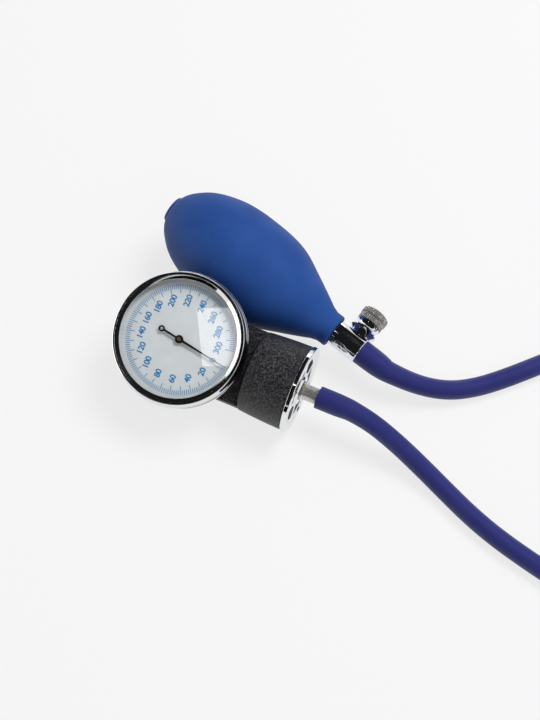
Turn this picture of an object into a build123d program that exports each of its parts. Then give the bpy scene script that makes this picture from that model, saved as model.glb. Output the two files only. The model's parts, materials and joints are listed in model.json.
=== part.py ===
from build123d import *
import math
import os

# Aneroid blood pressure gauge with its squeeze bulb and two rubber tubes, as they lie on a table.
# Millimetres, +Z up. X runs to the right and Y away from the viewer.
# The origin is on the table, under the middle of the gauge and the bulb.
# Three frames carry the pieces. The gauge frame has X along the drum towards the hose, Z out of the
# dial, and its origin on the drum's axis under the pointer. The bulb frame has X along the bulb towards
# its tube, Y towards the release knob, and its origin at the bulb's mouth. The side frame has X along
# the release knob's axis and its origin on the valve's axis.

# How the pieces lie on the table, in plan
CAP_PLACE = (15.1, -25.25)          # middle of the drum's end face
DRUM_HEADING = -24.0                # degrees from +X
DIAL_ROLL = 20.0                    # how far the dial leans over, about the drum's axis
MOUTH_PLACE = (31.2, 6.2)           # middle of the bulb's mouth
BULB_HEADING = -37.75               # degrees from +X, from the button to the mouth
BULB_DIP = 6.9                      # degrees that the bulb points down towards its mouth

# Clearances
SEAT = 0.03                         # between pieces that are pressed or screwed together
RUN = 0.04                          # between a shaft and its bearing
TOUCH = 0.05                        # between moving pieces that rest against each other

# Gauge body: a tapered drum, a bulkhead, and a boat-shaped hull with a flat deck under the head
CAP_FRONT = 60.45                   # end face of the drum, from the pointer's axis
CAP_WIDTH = 2.4
CAP_RADIUS = 21.4
DRUM_LENGTH = 24.85                 # with the cap's rim
DRUM_END_RADIUS = 21.0
DRUM_STEP_RADIUS = 19.8
DRUM_SWELL = 0.22                   # how far its side bows out between the two ends
DRUM_WALL = 2.0
BULKHEAD = 2.0
HULL_RADIUS = 19.5
HULL_STRAIGHT = 8.0                 # where the hull starts to round off, from the pointer's axis
HULL_NOSE = 21.0
HULL_WALL = 2.8
DECK_HEIGHT = 5.75                  # above the drum's axis
DECK_THICKNESS = 2.4
DECK_WINDOW = (16.0, 12.0)
STEP_ROUND = 0.7

# End cap
CAP_FACE_RING = 4.4                 # width of the flat ring round the windows
CAP_WEB = 1.2
CAP_RECESS = 1.0
CAP_PLUG = 4.0                      # length of the part inside the drum
CAP_PLUG_WALL = 1.5
HUB_RADIUS = 7.0
WINDOW_COUNT = 6
WINDOW_EDGE = 1.6                   # from the ring and the hub to a window
SPOKE_WIDTH = 3.2
CAP_EDGE = 0.35
SCREEN_THICKNESS = 0.8

# Hose stub
STUB_RADIUS = 4.0
STUB_EXPOSED = 8.35
STUB_COLLAR = (5.0, 1.4)            # radius and thickness
STUB_PITCH = 0.8
STUB_GROOVE = 0.25
STUB_BARB_RADIUS = 3.7
STUB_BARB_LENGTH = 6.0
STUB_BORE = 1.5
NUT_ACROSS = 12.0
NUT_THICKNESS = 2.3

# Pressure capsule and push rod
CAPSULE_RADIUS = 16.8
CAPSULE_RIM = 1.0
CAPSULE_SHEET = 0.35
CAPSULE_SWELL = 2.2                 # how far each sheet stands out at its hub
CAPSULE_HUB = 3.0
CAPSULE_HUB_LENGTH = 1.1
CAPSULE_WAVE = 0.5
CAPSULE_WAVES = 4
ROD_RADIUS = 0.9
ROD_FOOT = (3.0, 1.0)               # radius and thickness
BUSH_RADIUS = 2.6
BUSH_FLANGE = (4.0, 0.8)

# Head, in heights above the drum's axis
DIAL_FACE = 15.2
DIAL_THICKNESS = 0.7
DIAL_HOLE = 1.5
CASE_RADIUS = 30.6
CASE_FOOT_RADIUS = 27.0
CASE_WALL = 1.25
DIAL_GAP = 0.1                      # between the dial's edge and the case
CASE_FLOOR = 1.4
CASE_RIM = 2.4                      # height of the case's rim over the dial's face
CASE_SHOULDER = 9.6
DIAL_LEDGE = 1.3
GASKET = 0.6
GASKET_WIDTH = 1.6
GLASS_THICKNESS = 1.2
BEZEL_WALL = 0.95                   # over the case, at the top of the bezel's side
BEZEL_FLARE = 0.35                  # how much wider the side is at the bottom
BEZEL_ROLL = 0.7                    # how far the lower bead stands out from the side
BEZEL_BOTTOM = 12.6
BEZEL_BEAD = 2.3
BEZEL_TOP = 21.1
BEZEL_CREST = 0.7                   # from the case's side in to the bezel's highest edge
BEZEL_LIP = 2.6                     # from the case's side in to the opening over the glass
BEZEL_TURN = 1.25                   # height of the round from the side to the highest edge

# Movement
GEAR_MODULE = 0.4
PINION_TEETH = 10
SECTOR_TEETH = 100                  # if the sector were a whole wheel
SECTOR_KEPT = 15
TOOTH_FILL = 0.38                   # share of the pitch that a tooth takes at the pitch circle
GEAR_THICKNESS = 0.9
GEAR_LEVEL = 10.2
SCALE_SWEEP = 341.0                 # degrees of the dial from 0 to the highest reading
LEVER_LENGTH = 3.2
LEVER_THICKNESS = 2.2
LEVER_TIP = 1.1
LEVER_ARM = 1.2                     # width between the hub and the tip
LEVER_HUB = 1.9
ROCKER_RADIUS = 1.0
ARBOR_RADIUS = 0.75
PIVOT_RADIUS = 0.5
PLATE_LEVEL = 8.2
PLATE_THICKNESS = 1.0
PLATE_RADIUS = 23.5
BRIDGE_LEVEL = 12.4
PILLAR_PLACES = ((4.0, 21.0), (4.0, -21.0), (-20.0, 0.0))
PILLAR_RADIUS = 1.6
SCREW_HEAD = (1.6, 0.8)
SCREW_SHANK = (0.8, 2.0)
CASE_SCREW_PLACES = ((1.0, 11.0), (1.0, -11.0), (-7.0, 0.0))
CASE_SCREW_HEAD = (2.2, 0.9)
CASE_SCREW_SHANK = 1.2
SPRING_TURNS = 4
SPRING_PITCH = 1.2
SPRING_STRIP = (0.25, 0.5)          # thickness and height
SPRING_LEVEL = 11.6
COLLET_RADIUS = 1.3

# Pointer
POINTER_LEVEL = 16.4
POINTER_SHEET = 0.4
POINTER_LENGTH = 24.0
POINTER_ROOT = 1.3
POINTER_TIP = 0.36
POINTER_TAIL = 11.4
POINTER_TAIL_WIDTH = 1.0
POINTER_RING = (1.54, 0.8)          # outer and inner radius of the tail's open ring
POINTER_HUB = (1.96, 0.8)
BUSH_CAP = (0.93, 0.5)

# Bulb: radius at distances from the button's face
BULB_LENGTH = 101.0
BULB_OUTLINE = (
    (1.6, 7.3), (9.2, 16.2), (25.4, 23.5), (46.4, 25.3), (65.4, 23.0), (79.4, 16.7), (93.4, 9.5))
BULB_WALL = 2.2
BUTTON_RADIUS = 6.75
BUTTON_THICKNESS = 4.6
COLLAR_RADIUS = 8.4
COLLAR_START = 96.6
LIP_ROUND = 1.0
MOUTH_BORE = 5.6
MOUTH_DEPTH = 7.0

# Intake valve in the button
INTAKE_RADIUS = 4.0
INTAKE_RECESS = 0.2
INTAKE_HOLE = 1.2
INTAKE_SEAT = 3.0                   # from the insert's face
INTAKE_BALL = 2.1
INTAKE_LIFT = 0.8
INTAKE_FLANGE = (5.0, 1.0)
CHAMBER_GAP = 0.6                   # between a ball and the wall of its chamber
CAGE_THICKNESS = 0.8
CAGE_HOLE = 0.65

# Valve body
VALVE_RADIUS = 6.5
VALVE_LENGTH = 15.6
VALVE_CHAMFER = 0.4
STEM_LENGTH = 11.0
STEM_RING = (6.2, 2.0)
VALVE_BARB_RADIUS = 4.5
VALVE_BARB_LENGTH = 6.0
BARB_BITE = 0.4
OUTLET_HOLE = 1.4
OUTLET_SEAT = -6.0                  # from the bulb's mouth
OUTLET_BALL = 2.3
OUTLET_LIFT = 0.9
PASSAGE_RADIUS = 3.0
SIDE_PLACE = 10.5                   # release knob's axis, from the bulb's mouth

# Release valve, in distances from the valve's axis
BOSS_FOOT = (4.5, 4.0)              # distance and radius
BOSS_RIM = (8.6, 7.1)
BOSS_TOP = 9.6
NECK_TOP = 13.0
NECK_RADIUS = 6.5
NECK_WAIST = 0.6
SPIGOT_RADIUS = 3.0
SPIGOT_FOOT = 7.0
SEAL_ROOM = 1.0
SEAL_SECTION = 0.45
VENT_HOLE = 1.2
VENT_SEAT = 4.2
VENT_OUTLET = 0.6
NEEDLE_RADIUS = 2.0
NEEDLE_TIP = 0.35
NEEDLE_TOP = 17.8
KNOB_FOOT = 13.35
KNOB_GROOVE = (16.2, 16.7)
KNOB_TOP = 20.0
KNOB_CROWN = 0.7
KNOB_INNER_RADIUS = 6.65
KNOB_OUTER_RADIUS = 7.0
KNOB_GROOVE_RADIUS = 5.9
KNURL_COUNT = 40
KNURL_DEPTH = 0.32
KNOB_LIFT = 1.125                   # how far the knob backs out from shut to open

# Tubes
TUBE_RADIUS = 4.75
TUBE_BORE = 2.5
STRETCH_LENGTH = 5.0                # full width over the barb
BORE_LENGTH = 6.2                   # the barb's room
STRETCH_END = 8.6                   # where the tube is back to its own width, before it bends
TUBE_LEVEL = TUBE_RADIUS            # centre line of a tube that lies on the table
COIL_RADIUS = 54.5
COIL_GAP = 1.0
COIL_OVERLAP = 30.0                 # degrees that the end runs beside the start
COIL_TUCK = (30.0, 70.0)            # radius and turn of the bend into the coil
COIL_TAIL = 12.0                    # level run that lies over the coil's far side
COIL_REST = 0.5                     # between that run and the tube under it
RAMP = (40.0, 20.0)                 # radius and turn of the two bends that lift the end
CLIP_TURN = 15.0                    # degrees round the coil from its start
CLIP_LENGTH = 8.0
CLIP_WALL = 1.2
CLIP_OPEN = 3.0                     # how far below the tubes' middle the clip reaches
CONNECTOR_BARB = 11.0
CONNECTOR_FLANGE = (4.6, 3.0)
CONNECTOR_GRIP = (4.0, 6.0)
CONNECTOR_NOSE = (3.0, 12.0)
CONNECTOR_BORE = 1.4
CONNECTOR_FLUTES = 18

# Routes of the free tubes, from where each leaves its barb to the start of its coil.
# The first two points follow the barb's axis and are worked out below.
BULB_TUBE_FIRST_RUN = 16.2
BULB_TUBE_POINTS = (
    (71.1, -18.1, 10.67), (85.7, -19.4, 6.79), (99.3, -16.9, TUBE_LEVEL), (112.2, -12.7, TUBE_LEVEL),
    (124.8, -7.6, TUBE_LEVEL), (137.7, -2.1, TUBE_LEVEL), (152.2, 1.6, TUBE_LEVEL),
    (168.4, 3.3, TUBE_LEVEL), (185.6, 4.3, TUBE_LEVEL), (202.9, 5.5, TUBE_LEVEL))
GAUGE_TUBE_FIRST_RUN = 17.0
GAUGE_TUBE_POINTS = (
    (48.6, -41.3, 19.0), (60.8, -49.5, 12.29), (72.1, -59.2, 7.3), (82.4, -69.5, TUBE_LEVEL),
    (92.3, -80.4, TUBE_LEVEL), (103.4, -90.9, TUBE_LEVEL), (116.2, -101.0, TUBE_LEVEL),
    (130.4, -111.3, TUBE_LEVEL), (145.5, -121.3, TUBE_LEVEL), (160.6, -131.5, TUBE_LEVEL))


# Small helpers

def turned(*outline):
    """Turn a closed outline of (distance along X, radius) about the X axis."""
    return revolve(make_face(Polyline(*outline, close=True)), Axis.X)


def turned_up(*outline):
    """Turn a closed outline of (radius, height) about the Z axis."""
    return revolve(Plane.XZ * make_face(Polyline(*outline, close=True)), Axis.Z)


def rod(radius, start, end):
    """A round bar along X."""
    return turned((start, 0), (start, radius), (end, radius), (end, 0))


def post(radius, bottom, top, place=(0, 0)):
    """A round post along Z."""
    return Pos(place[0], place[1], 0) * turned_up((0, bottom), (radius, bottom), (radius, top), (0, top))


def heading(degrees):
    return Vector(math.cos(math.radians(degrees)), math.sin(math.radians(degrees)), 0)


# Gauge frame
drum_way = heading(DRUM_HEADING)
drum_side = heading(DRUM_HEADING - 90)
roll = math.radians(DIAL_ROLL)
dial_normal = Vector(0, 0, 1) * math.cos(roll) + drum_side * math.sin(roll)
gauge_origin = Vector(CAP_PLACE[0], CAP_PLACE[1], CAP_RADIUS) - drum_way * CAP_FRONT
gauge_frame = Plane(origin=gauge_origin, x_dir=drum_way, z_dir=dial_normal)

step_x = CAP_FRONT - DRUM_LENGTH
rim_x = CAP_FRONT - CAP_WIDTH
drum_bore = DRUM_STEP_RADIUS - DRUM_WALL


def make_gauge_body():
    """Drum, bulkhead and hull as one casting, hollow, with a flat deck that the head stands on."""
    back = rim_x - SEAT
    middle = ((step_x + back) / 2, (DRUM_STEP_RADIUS + DRUM_END_RADIUS) / 2 + DRUM_SWELL)
    side = ThreePointArc((step_x, DRUM_STEP_RADIUS), middle, (back, DRUM_END_RADIUS))
    drum = revolve(make_face(side + Polyline(side @ 1, (back, 0), (step_x, 0), side @ 0)), Axis.X)
    step_edge = drum.edges().filter_by(GeomType.CIRCLE).sort_by(Axis.X)[0]
    drum = fillet(step_edge, STEP_ROUND)
    hull = hull_solid(HULL_RADIUS, HULL_NOSE, step_x)
    deck_cut = Pos(0, 0, DECK_HEIGHT + HULL_RADIUS) * Box(400, 4 * HULL_RADIUS, 2 * HULL_RADIUS)
    hull -= deck_cut
    cavity = hull_solid(HULL_RADIUS - HULL_WALL, HULL_NOSE - HULL_WALL, step_x - HULL_WALL)
    roof = DECK_HEIGHT - DECK_THICKNESS
    cavity -= Pos(0, 0, roof + HULL_RADIUS) * Box(400, 4 * HULL_RADIUS, 2 * HULL_RADIUS)
    window = Pos(rocker_place[0], rocker_place[1], DECK_HEIGHT) * Box(*DECK_WINDOW, 4 * DECK_THICKNESS)
    body = drum + hull - cavity - window
    body -= rod(drum_bore, step_x + BULKHEAD, CAP_FRONT)
    body -= rod(BUSH_RADIUS + SEAT, step_x - HULL_WALL - 1, step_x + BULKHEAD + 1)
    for place in CASE_SCREW_PLACES:
        body -= post(CASE_SCREW_SHANK + SEAT, roof - 1, DECK_HEIGHT + 1, place)
    return body


def hull_solid(radius, nose, end):
    """A round bar along X that ends at the left in half an ellipsoid."""
    back = EllipticalCenterArc((HULL_STRAIGHT, 0), nose, radius, start_angle=90, arc_size=90)
    rest = Polyline(back @ 1, (end, 0), (end, radius), back @ 0)
    return revolve(make_face(back + rest), Axis.X)


def make_end_cap():
    """Rim, plug, flat face ring, recessed web with windows, and hub."""
    window_outer = CAP_RADIUS - CAP_FACE_RING
    web_front = CAP_FRONT - CAP_RECESS
    web_back = web_front - CAP_WEB
    plug_radius = drum_bore - SEAT
    cap = turned(
        (web_back, 0), (web_back, plug_radius - CAP_PLUG_WALL),
        (rim_x - CAP_PLUG, plug_radius - CAP_PLUG_WALL),
        (rim_x - CAP_PLUG, plug_radius), (rim_x, plug_radius), (rim_x, CAP_RADIUS - CAP_EDGE),
        (rim_x + CAP_EDGE, CAP_RADIUS), (CAP_FRONT - CAP_EDGE, CAP_RADIUS),
        (CAP_FRONT, CAP_RADIUS - CAP_EDGE), (CAP_FRONT, window_outer),
        (web_front, window_outer - CAP_RECESS), (web_front, HUB_RADIUS + CAP_RECESS),
        (CAP_FRONT, HUB_RADIUS), (CAP_FRONT, 0))
    inner = HUB_RADIUS + WINDOW_EDGE
    outer = window_outer - WINDOW_EDGE
    windows = rod(outer, web_back - 1, CAP_FRONT) - rod(inner, web_back - 2, CAP_FRONT + 1)
    for index in range(WINDOW_COUNT):
        spoke = Box(8 * CAP_WIDTH, SPOKE_WIDTH, 2 * outer, align=(Align.CENTER, Align.CENTER, Align.MIN))
        windows -= Rot(360 / WINDOW_COUNT * index, 0, 0) * Pos(web_back, 0, 0) * spoke
    return cap - windows - rod(STUB_RADIUS + SEAT, web_back - 1, CAP_FRONT + 1)


cap_back = CAP_FRONT - CAP_RECESS - CAP_WEB
nut_front = cap_back - SEAT
nut_back = nut_front - NUT_THICKNESS
stub_end = CAP_FRONT + STUB_EXPOSED
stub_inner = nut_back - 0.6


def barb_outline(start, length, radius, bite):
    """Points of three saw teeth along X, rising towards the start, for a turned outline."""
    points = []
    tooth = length / 3
    for index in range(3):
        near = start + tooth * index
        points += [(near, radius), (near + tooth, radius - bite)]
    return points


def make_hose_stub():
    """Threaded stub with a collar on the cap's hub, a barb for the tube, and a bore to the capsule."""
    collar_radius, collar_length = STUB_COLLAR
    outline = [(stub_inner, 0), (stub_inner, STUB_RADIUS), (CAP_FRONT + SEAT, STUB_RADIUS),
               (CAP_FRONT + SEAT, collar_radius), (CAP_FRONT + collar_length, collar_radius)]
    crest = CAP_FRONT + collar_length
    while crest + STUB_PITCH <= stub_end:
        outline += [(crest, STUB_RADIUS), (crest + STUB_PITCH / 2, STUB_RADIUS - STUB_GROOVE)]
        crest += STUB_PITCH
    outline += [(crest, STUB_RADIUS), (stub_end, STUB_RADIUS)]
    outline += barb_outline(stub_end, STUB_BARB_LENGTH, STUB_BARB_RADIUS, BARB_BITE)
    outline += [(stub_end + STUB_BARB_LENGTH, 0)]
    return turned(*outline) - rod(STUB_BORE, stub_inner - 1, stub_end + STUB_BARB_LENGTH + 1)


def make_stub_nut():
    """Hexagon nut that holds the stub in the cap's hub."""
    blank = extrude(Plane.YZ * RegularPolygon(NUT_ACROSS / 2, 6, major_radius=False), NUT_THICKNESS)
    return Pos(nut_back, 0, 0) * blank - rod(STUB_RADIUS + SEAT, nut_back - 1, nut_front + 1)


def make_dust_screen():
    """Felt ring between the cap's web and the nut, seen dark through the windows."""
    plug_inner = drum_bore - SEAT - CAP_PLUG_WALL - SEAT
    screen_front = cap_back - SEAT
    screen = rod(plug_inner, screen_front - SCREEN_THICKNESS, screen_front)
    corner = NUT_ACROSS / 2 / math.cos(math.pi / 6)
    return screen - rod(corner + SEAT, screen_front - 2 * SCREEN_THICKNESS, screen_front + 1)


capsule_face = stub_inner - SEAT
capsule_mid = capsule_face - CAPSULE_HUB_LENGTH - CAPSULE_SWELL - CAPSULE_RIM / 2


def wavy_line(start, end):
    """A row of shallow arcs from one (distance, radius) point to another, waving to and fro along X."""
    wave = None
    for index in range(CAPSULE_WAVES):
        near = Vector(*start) + (Vector(*end) - Vector(*start)) * (index / CAPSULE_WAVES)
        far = Vector(*start) + (Vector(*end) - Vector(*start)) * ((index + 1) / CAPSULE_WAVES)
        middle = (near + far) * 0.5 + Vector(CAPSULE_WAVE * (-1) ** index, 0)
        arc = ThreePointArc(near, middle, far)
        wave = arc if wave is None else wave + arc
    return wave


def make_pressure_capsule():
    """Two wavy sheets joined at the rim, with an open hub towards the stub and a closed one for the rod."""
    rim = CAPSULE_RIM / 2
    root = rim + CAPSULE_SWELL
    edge = CAPSULE_RADIUS - CAPSULE_RIM
    outer_near = wavy_line((root, CAPSULE_HUB), (rim, edge))
    inner_near = wavy_line((root - CAPSULE_SHEET, CAPSULE_HUB), (rim - CAPSULE_SHEET, edge))
    hub = root + CAPSULE_HUB_LENGTH
    half = make_face(
        outer_near + Polyline((rim, edge), (rim, CAPSULE_RADIUS), (0, CAPSULE_RADIUS), (0, edge),
                              (rim - CAPSULE_SHEET, edge)) + inner_near
        + Polyline((root - CAPSULE_SHEET, CAPSULE_HUB), (root - CAPSULE_SHEET, STUB_BORE), (hub, STUB_BORE),
                   (hub, CAPSULE_HUB), (root, CAPSULE_HUB)))
    near = revolve(half, Axis.X)
    far = mirror(near, Plane.YZ) + rod(CAPSULE_HUB, -hub, -(root - CAPSULE_SHEET))
    return Pos(capsule_mid, 0, 0) * (near + far)


# Rocker: the lever stands square to the rod at half travel, and the sector points at the pinion
pitch_radius = GEAR_MODULE * PINION_TEETH / 2
sector_radius = GEAR_MODULE * SECTOR_TEETH / 2
gear_distance = pitch_radius + sector_radius
rocker_place = (math.sqrt(gear_distance ** 2 - LEVER_LENGTH ** 2), -LEVER_LENGTH)
swing = SCALE_SWEEP * PINION_TEETH / SECTOR_TEETH
half_swing = math.radians(swing / 2)
rod_travel = LEVER_LENGTH * math.radians(swing)
rod_tip = rocker_place[0] + LEVER_LENGTH * math.sin(half_swing) + LEVER_TIP + TOUCH
rod_root = capsule_face - 2 * CAPSULE_HUB_LENGTH - 2 * CAPSULE_SWELL - CAPSULE_RIM - TOUCH


def make_push_rod():
    """Thin rod with a foot on the capsule's closed hub."""
    foot_radius, foot_thickness = ROD_FOOT
    return rod(ROD_RADIUS, rod_tip, rod_root) + rod(foot_radius, rod_root - foot_thickness, rod_root)


def make_rod_bush():
    """Flanged bush through the bulkhead."""
    flange_radius, flange_thickness = BUSH_FLANGE
    back = step_x + BULKHEAD + SEAT
    bush = rod(BUSH_RADIUS, step_x - HULL_WALL, back) + rod(flange_radius, back, back + flange_thickness)
    return bush - rod(ROD_RADIUS + RUN, step_x - 2 * HULL_WALL, back + 2 * flange_thickness)


# Head

case_foot = DECK_HEIGHT + SEAT
case_inside = case_foot + CASE_FLOOR
case_top = DIAL_FACE + CASE_RIM
dial_back = DIAL_FACE - DIAL_THICKNESS
glass_bottom = case_top + GASKET + 2 * SEAT
glass_top = glass_bottom + GLASS_THICKNESS
plate_top = PLATE_LEVEL + PLATE_THICKNESS
bridge_top = BRIDGE_LEVEL + PLATE_THICKNESS
gear_top = GEAR_LEVEL + GEAR_THICKNESS


def make_head_case():
    """Cup that carries the movement and the dial, with posts under the movement plate."""
    inner = CASE_RADIUS - CASE_WALL
    ledge = inner - DIAL_LEDGE
    case = turned_up(
        (0, case_foot), (CASE_FOOT_RADIUS, case_foot), (CASE_RADIUS, CASE_SHOULDER), (CASE_RADIUS, case_top),
        (inner, case_top), (inner, dial_back - SEAT), (ledge, dial_back - SEAT),
        (ledge, CASE_SHOULDER), (ledge - CASE_SHOULDER + case_inside, case_inside), (0, case_inside))
    for place in PILLAR_PLACES:
        case += post(PILLAR_RADIUS + 0.6, case_inside - SEAT, PLATE_LEVEL - SEAT, place)
    for place in CASE_SCREW_PLACES:
        case -= post(CASE_SCREW_SHANK + SEAT, case_foot - 1, case_inside + 1, place)
    return case - post(LEVER_HUB, case_foot - 1, case_inside + 1, rocker_place)


def make_case_screws():
    """Three screws that hold the case to the body's deck."""
    radius, height = CASE_SCREW_HEAD
    bottom = DECK_HEIGHT - DECK_THICKNESS
    screws = []
    for place in CASE_SCREW_PLACES:
        shank = post(CASE_SCREW_SHANK, bottom, case_inside + height, place)
        head = post(radius, case_inside + SEAT, case_inside + height, place)
        slot = Pos(place[0], place[1], case_inside + height) * Box(3 * radius, 0.6, 0.8)
        screws.append((shank + head - slot).solid())
    return Compound(screws)


def make_plate(level, pivot_radius, rocker_hole, screw_hole):
    """Round movement plate with the two bearing holes and the pillar screws' holes."""
    plate = post(PLATE_RADIUS, level, level + PLATE_THICKNESS)
    plate -= post(pivot_radius + RUN, level - 1, level + PLATE_THICKNESS + 1)
    plate -= post(rocker_hole + RUN, level - 1, level + PLATE_THICKNESS + 1, rocker_place)
    for place in PILLAR_PLACES:
        if screw_hole > 0:
            plate -= post(screw_hole + SEAT, level - 1, level + PLATE_THICKNESS + 1, place)
    return plate


def make_movement_pillars():
    """Three pillars between the plates, tapped at the top."""
    pillars = []
    for place in PILLAR_PLACES:
        pillar = post(PILLAR_RADIUS, plate_top + SEAT, BRIDGE_LEVEL - SEAT, place)
        tapped = post(SCREW_SHANK[0] + SEAT, BRIDGE_LEVEL - SCREW_SHANK[1] - SEAT, BRIDGE_LEVEL + 1, place)
        pillars.append((pillar - tapped).solid())
    return Compound(pillars)


def make_movement_screws():
    """Three screws that hold the bridge to the pillars."""
    radius, height = SCREW_HEAD
    screws = []
    for place in PILLAR_PLACES:
        shank = post(SCREW_SHANK[0], BRIDGE_LEVEL - SCREW_SHANK[1], bridge_top + height, place)
        head = post(radius, bridge_top + SEAT, bridge_top + height, place)
        slot = Pos(place[0], place[1], bridge_top + height) * Box(3 * radius, 0.4, 0.6)
        screws.append((shank + head - slot).solid())
    return Compound(screws)


def tooth(radius, direction):
    """One tooth of a gear, as a face in the XY plane, pointing along a direction in degrees."""
    pitch = math.pi * GEAR_MODULE
    slope = math.tan(math.radians(20))
    middle = pitch * TOOTH_FILL / 2
    root = radius - 1.25 * GEAR_MODULE
    tip = radius + GEAR_MODULE
    tip_half = middle - GEAR_MODULE * slope
    root_half = middle + 1.25 * GEAR_MODULE * slope
    inside = root - 0.3
    face = make_face(Polyline((inside, -root_half), (root, -root_half), (tip, -tip_half), (tip, tip_half),
                              (root, root_half), (inside, root_half), close=True))
    return Rot(0, 0, direction) * face


rocker_way = math.degrees(math.atan2(-rocker_place[1], -rocker_place[0]))


def make_sector_gear():
    """Toothed fan on the rocker, with a window in its web."""
    step = 360 / SECTOR_TEETH
    spread = step * SECTOR_KEPT / 2
    root = sector_radius - 1.25 * GEAR_MODULE
    fan = slice_face(root, spread)
    window = slice_face(root - 2.4, spread - 7) - Circle(root / 2.6)
    fan = fan - window + Circle(LEVER_HUB + 0.8)
    for index in range(SECTOR_KEPT):
        fan += tooth(sector_radius, step * (index - (SECTOR_KEPT - 1) / 2))
    gear = extrude(fan, GEAR_THICKNESS) - post(ROCKER_RADIUS + SEAT, -1, GEAR_THICKNESS + 1)
    turn = Rot(0, 0, rocker_way - swing / 2)
    return Pos(rocker_place[0], rocker_place[1], GEAR_LEVEL) * turn * gear


def slice_face(radius, half_angle):
    """A slice of a disc about +X."""
    rim = CenterArc((0, 0), radius, -half_angle, 2 * half_angle)
    return make_face(rim + Polyline(rim @ 1, (0, 0), rim @ 0))


def make_rocker_arbor():
    """Shaft that carries the sector in the movement and the lever below it."""
    return post(ROCKER_RADIUS, -LEVER_THICKNESS / 2 - 0.3, bridge_top + 0.3, rocker_place)


def make_rocker_lever():
    """Short arm that the push rod turns."""
    arm = Pos(0, LEVER_LENGTH / 2) * Rectangle(LEVER_ARM, LEVER_LENGTH)
    flat = Circle(LEVER_HUB) + arm + Pos(0, LEVER_LENGTH) * Circle(LEVER_TIP)
    lever = extrude(flat, LEVER_THICKNESS) - post(ROCKER_RADIUS + SEAT, -1, LEVER_THICKNESS + 1)
    return Pos(rocker_place[0], rocker_place[1], -LEVER_THICKNESS / 2) * Rot(0, 0, -swing / 2) * lever


def make_pinion():
    """Small gear on the pointer's arbor, with the hairspring's collet above it."""
    step = 360 / PINION_TEETH
    gap_way = rocker_way + 180
    disc = Circle(pitch_radius - 1.25 * GEAR_MODULE)
    for index in range(PINION_TEETH):
        disc += tooth(pitch_radius, gap_way + step * (index + 0.5) + SCALE_SWEEP / 2)
    gear = Pos(0, 0, GEAR_LEVEL) * extrude(disc, GEAR_THICKNESS)
    collet = post(COLLET_RADIUS, gear_top - SEAT, SPRING_LEVEL + SPRING_STRIP[1])
    return gear + collet - post(ARBOR_RADIUS + SEAT, GEAR_LEVEL - 1, BRIDGE_LEVEL)


def make_pointer_arbor():
    """Shaft of the pointer, with a thinner pivot in the lower plate."""
    pivot = post(PIVOT_RADIUS, PLATE_LEVEL, plate_top + TOUCH)
    return pivot + post(ARBOR_RADIUS, plate_top + TOUCH, POINTER_LEVEL + POINTER_SHEET)


def make_hairspring():
    """Flat spiral of half turns, from the collet to the stud."""
    thickness, height = SPRING_STRIP
    inner = []
    outer = []
    radius = COLLET_RADIUS + SEAT + thickness / 2
    centre = 0.0
    for index in range(2 * SPRING_TURNS):
        side = 1 if index % 2 == 0 else -1
        for edge, offset in ((inner, -thickness / 2), (outer, thickness / 2)):
            reach = radius + offset
            start = centre + side * reach
            end = centre - side * reach
            edge.append(ThreePointArc((start, 0), (centre, side * reach), (end, 0)))
        centre += side * SPRING_PITCH / 2
        radius += SPRING_PITCH / 2
    ends = [Line(inner[0] @ 0, outer[0] @ 0), Line(inner[-1] @ 1, outer[-1] @ 1)]
    return Pos(0, 0, SPRING_LEVEL) * extrude(make_face(inner + outer + ends), height)


def make_hairspring_stud():
    """Pin under the bridge that holds the hairspring's outer end."""
    last_centre = 0.0
    radius = COLLET_RADIUS + SEAT + SPRING_STRIP[0] / 2
    for index in range(2 * SPRING_TURNS - 1):
        last_centre += (1 if index % 2 == 0 else -1) * SPRING_PITCH / 2
        radius += SPRING_PITCH / 2
    end_x = last_centre + radius
    pin = 0.6
    return post(pin, SPRING_LEVEL, BRIDGE_LEVEL - SEAT, (end_x + SPRING_STRIP[0] / 2 + pin + SEAT, 0))


def make_dial_plate():
    """Thin round dial on the case's ledge."""
    plate = post(CASE_RADIUS - CASE_WALL - DIAL_GAP, dial_back, DIAL_FACE)
    return plate - post(DIAL_HOLE, dial_back - 1, DIAL_FACE + 1)


zero_way = -(360 - SCALE_SWEEP) / 2


def make_pointer():
    """Flat pointer with a tapered blade, and a tail that ends in an open ring. It points at zero."""
    ring_outer, ring_inner = POINTER_RING
    ring_place = POINTER_TAIL - ring_outer
    blade = make_face(Polyline((0, -POINTER_ROOT / 2), (POINTER_LENGTH, -POINTER_TIP / 2),
                               (POINTER_LENGTH, POINTER_TIP / 2), (0, POINTER_ROOT / 2), close=True))
    tail = Pos(-ring_place / 2, 0) * Rectangle(ring_place, POINTER_TAIL_WIDTH)
    flat = blade + tail + Pos(-ring_place, 0) * Circle(ring_outer) - Pos(-ring_place, 0) * Circle(ring_inner)
    sheet = Pos(0, 0, POINTER_LEVEL) * extrude(flat, POINTER_SHEET)
    hub_radius, hub_height = POINTER_HUB
    hub_foot = POINTER_LEVEL - (hub_height - POINTER_SHEET) / 2
    hub = post(hub_radius, hub_foot, hub_foot + hub_height)
    bore = post(ARBOR_RADIUS + SEAT, hub_foot - 1, hub_foot + hub_height + 1)
    return Rot(0, 0, zero_way) * (sheet + hub - bore)


def make_pointer_bush():
    """Brass cap on the end of the arbor, over the pointer's hub."""
    radius, height = BUSH_CAP
    foot = POINTER_LEVEL + (POINTER_HUB[1] + POINTER_SHEET) / 2 + SEAT
    return post(radius, foot, foot + height)


def make_glass_gasket():
    """Ring between the case's rim and the glass."""
    outer = CASE_RADIUS
    bottom = case_top + SEAT
    return post(outer, bottom, bottom + GASKET) - post(outer - GASKET_WIDTH, bottom - 1, bottom + GASKET + 1)


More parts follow.
